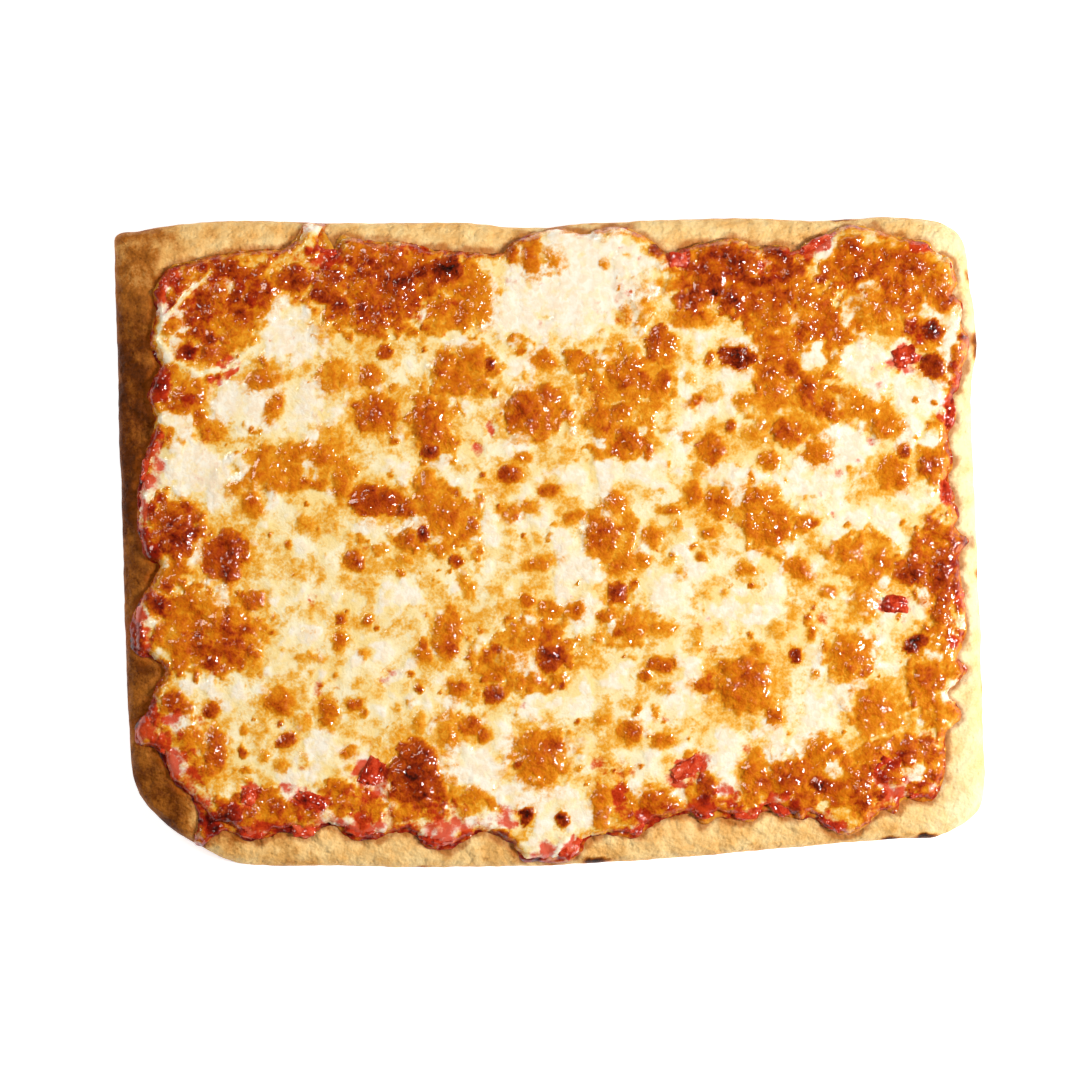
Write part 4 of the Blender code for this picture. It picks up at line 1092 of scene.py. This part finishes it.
class DropTomato(bpy.types.Operator):
    """Make the tomato pieces"""

    bl_idname = "pizza.drop_tomato"
    bl_label = "Tomato pieces"

    def execute(self, context):
        settings = context.scene.pizza_tomato
        places = (*EDGE_PIECES, *CHEESE_PIECES)
        nodes = [f"tomato_piece_{number:02d}" for number in range(1, len(places) + 1)]
        points, faces, singed = [], [], []
        for number, (node, place) in enumerate(zip(nodes, places), 1):
            shape, quads = block(number, place, settings.height / MM)
            shape[:, 2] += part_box(node)[0][2] / MM - TOMATO_SINK
            faces += [[corner + sum(map(len, points)) for corner in quad] for quad in quads]
            points.append(shape)
            singed.append(0.42 + 0.25 * noise(shape[:, 0], shape[:, 1], 5, 107) + 0.1 * (number % 3))
        layers = {"singed": np.concatenate(singed)}
        shape = np.concatenate(points)
        piece = new_object("tomato_pieces", shape, faces, layers, tomato_finish(settings))
        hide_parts(*nodes)
        return {"FINISHED"}


def block(number, place, height, cuts=12):
    """Points and faces of an uneven, softened block: a cube's sides, each cut in a grid and rounded."""
    line = np.linspace(-1, 1, cuts + 1)
    index, points, faces = {}, [], []

    def at(p):
        key = tuple(np.round(p, 5))
        if key not in index:
            index[key] = len(points)
            points.append(p)
        return index[key]

    for axis, side, i, j in product(range(3), (-1, 1), range(cuts), range(cuts)):
        quad = []
        for a, b in ((i, j), (i + 1, j), (i + 1, j + 1), (i, j + 1)):
            p = [0.0, 0.0, 0.0]
            p[axis], p[(axis + 1) % 3], p[(axis + 2) % 3] = side, line[a], line[b]
            quad.append(at(p))
        faces.append(quad if side > 0 else quad[::-1])
    cube = np.array(points)
    ball = cube / np.linalg.norm(cube, axis=1)[:, None]
    body = 0.45 * cube * 0.86 + 0.55 * ball  # about half way from a cube to a ball
    x, y, half_length, half_width, turn = place
    turn = math.radians(turn)
    lump = 1 + 0.26 * noise(body[:, 0] * 3 + number * 9, body[:, 1] * 3 + body[:, 2] * 2, 1.8, 109)
    lump += 0.16 * noise(body[:, 0] * 3 - body[:, 2], body[:, 1] * 3 + number * 5, 0.9, 113)
    along, across = body[:, 0] * half_length * lump, body[:, 1] * half_width * lump
    placed_x = x + along * math.cos(turn) - across * math.sin(turn)
    placed_y = y + along * math.sin(turn) + across * math.cos(turn)
    up = (body[:, 2] * lump + 1) * height / 2
    return np.stack([placed_x, placed_y, up], axis=1), faces


class SetStage(bpy.types.Operator):
    """Make the floor, the lights and the camera"""

    bl_idname = "pizza.set_stage"
    bl_label = "Stage"

    def execute(self, context):
        scene = context.scene
        settings = scene.pizza_stage
        make_floor(scene)
        light_all_round(scene, settings.surround)
        area_light("key_light", settings.key_power, 0.4, (1.5, -0.15, 1.5), (1.0, 0.97, 0.94))
        area_light("fill_light", settings.fill_power, 0.7, (-1.2, 0.9, 1.7), (1.0, 0.95, 0.88))

        camera = bpy.data.cameras.new("camera")
        camera.lens = settings.lens
        camera.sensor_width = 36
        eye = bpy.data.objects.new("camera", camera)
        over_x, over_y = settings.view_x - CENTRE[0] * MM, settings.view_y - CENTRE[1] * MM
        eye.location = (over_x, over_y, settings.camera_height)
        scene.collection.objects.link(eye)
        scene.camera = eye
        scene.view_settings.view_transform = "Standard"
        return {"FINISHED"}


def make_floor(scene):
    """A pale floor that glows a little, so that it comes out nearly white."""
    floor = bpy.data.meshes.new("floor")
    corners = [(x * FLOOR_HALF, y * FLOOR_HALF, 0) for x, y in ((-1, -1), (1, -1), (1, 1), (-1, 1))]
    floor.from_pydata(corners, [], [(0, 1, 2, 3)])
    plane = bpy.data.objects.new("floor", floor)
    scene.collection.objects.link(plane)
    plane.location.z = -FLOOR_GAP
    n = Nodes("pale_floor")
    n.fill(n.shader, {"Base Color": (0.9, 0.9, 0.9, 1), "Roughness": 0.9})
    n.fill(n.shader, {"Emission Color": (1, 1, 1, 1), "Emission Strength": 0.75})
    floor.materials.append(n.material)


def light_all_round(scene, strength):
    """A white surround that is dimmer overhead, where the camera is."""
    world = scene.world or bpy.data.worlds.new("studio")
    scene.world = world
    world.use_nodes = True
    tree = world.node_tree
    background = tree.nodes["Background"]
    background.inputs["Color"].default_value = (1, 1, 1, 1)
    apart = tree.nodes.new("ShaderNodeSeparateXYZ")
    tree.links.new(tree.nodes.new("ShaderNodeTexCoord").outputs["Generated"], apart.inputs[0])
    dimmer = tree.nodes.new("ShaderNodeMapRange")
    dimmer.interpolation_type = "SMOOTHSTEP"
    for socket, value in zip(dimmer.inputs, (0.0, 0.3, 0.9, strength, 0.3 * strength)):
        socket.default_value = value
    tree.links.new(apart.outputs["Z"], dimmer.inputs["Value"])
    tree.links.new(dimmer.outputs["Result"], background.inputs["Strength"])


def area_light(name, power, size, place, colour):
    """A soft square light that faces the pizza."""
    light = bpy.data.lights.new(name, "AREA")
    light.energy = power
    light.size = size
    light.color = colour
    lamp = bpy.data.objects.new(name, light)
    lamp.location = place
    lamp.rotation_euler = (-Vector(place)).to_track_quat("-Z", "Y").to_euler()
    bpy.context.scene.collection.objects.link(lamp)
    return lamp


class PizzaPanel(bpy.types.Panel):
    """The pizza's pieces, in the 3D view's sidebar"""

    bl_idname = "VIEW3D_PT_pizza"
    bl_label = "Sheet Pizza"
    bl_space_type = "VIEW_3D"
    bl_region_type = "UI"
    bl_category = "Pizza"

    def draw(self, context):
        for operator in OPERATORS:
            self.layout.operator(operator.bl_idname)


GROUPS = {
    "pizza_bread": PizzaBread,
    "pizza_sauce": PizzaSauce,
    "pizza_cheese": PizzaCheese,
    "pizza_tomato": PizzaTomato,
    "pizza_stage": PizzaStage,
}
OPERATORS = (BakeBread, SpreadSauce, MeltCheese, DropTomato, SetStage)


def register():
    for name, group in GROUPS.items():
        bpy.utils.register_class(group)
        setattr(bpy.types.Scene, name, PointerProperty(type=group))
    for kind in (*OPERATORS, PizzaPanel):
        bpy.utils.register_class(kind)


def unregister():
    for kind in (PizzaPanel, *reversed(OPERATORS)):
        bpy.utils.unregister_class(kind)
    for name, group in GROUPS.items():
        delattr(bpy.types.Scene, name)
        bpy.utils.unregister_class(group)


def main():
    register()
    bpy.ops.pizza.bake_bread()
    bpy.ops.pizza.spread_sauce()
    bpy.ops.pizza.melt_cheese()
    bpy.ops.pizza.drop_tomato()
    bpy.ops.pizza.set_stage()


if __name__ == "__main__":
    main()
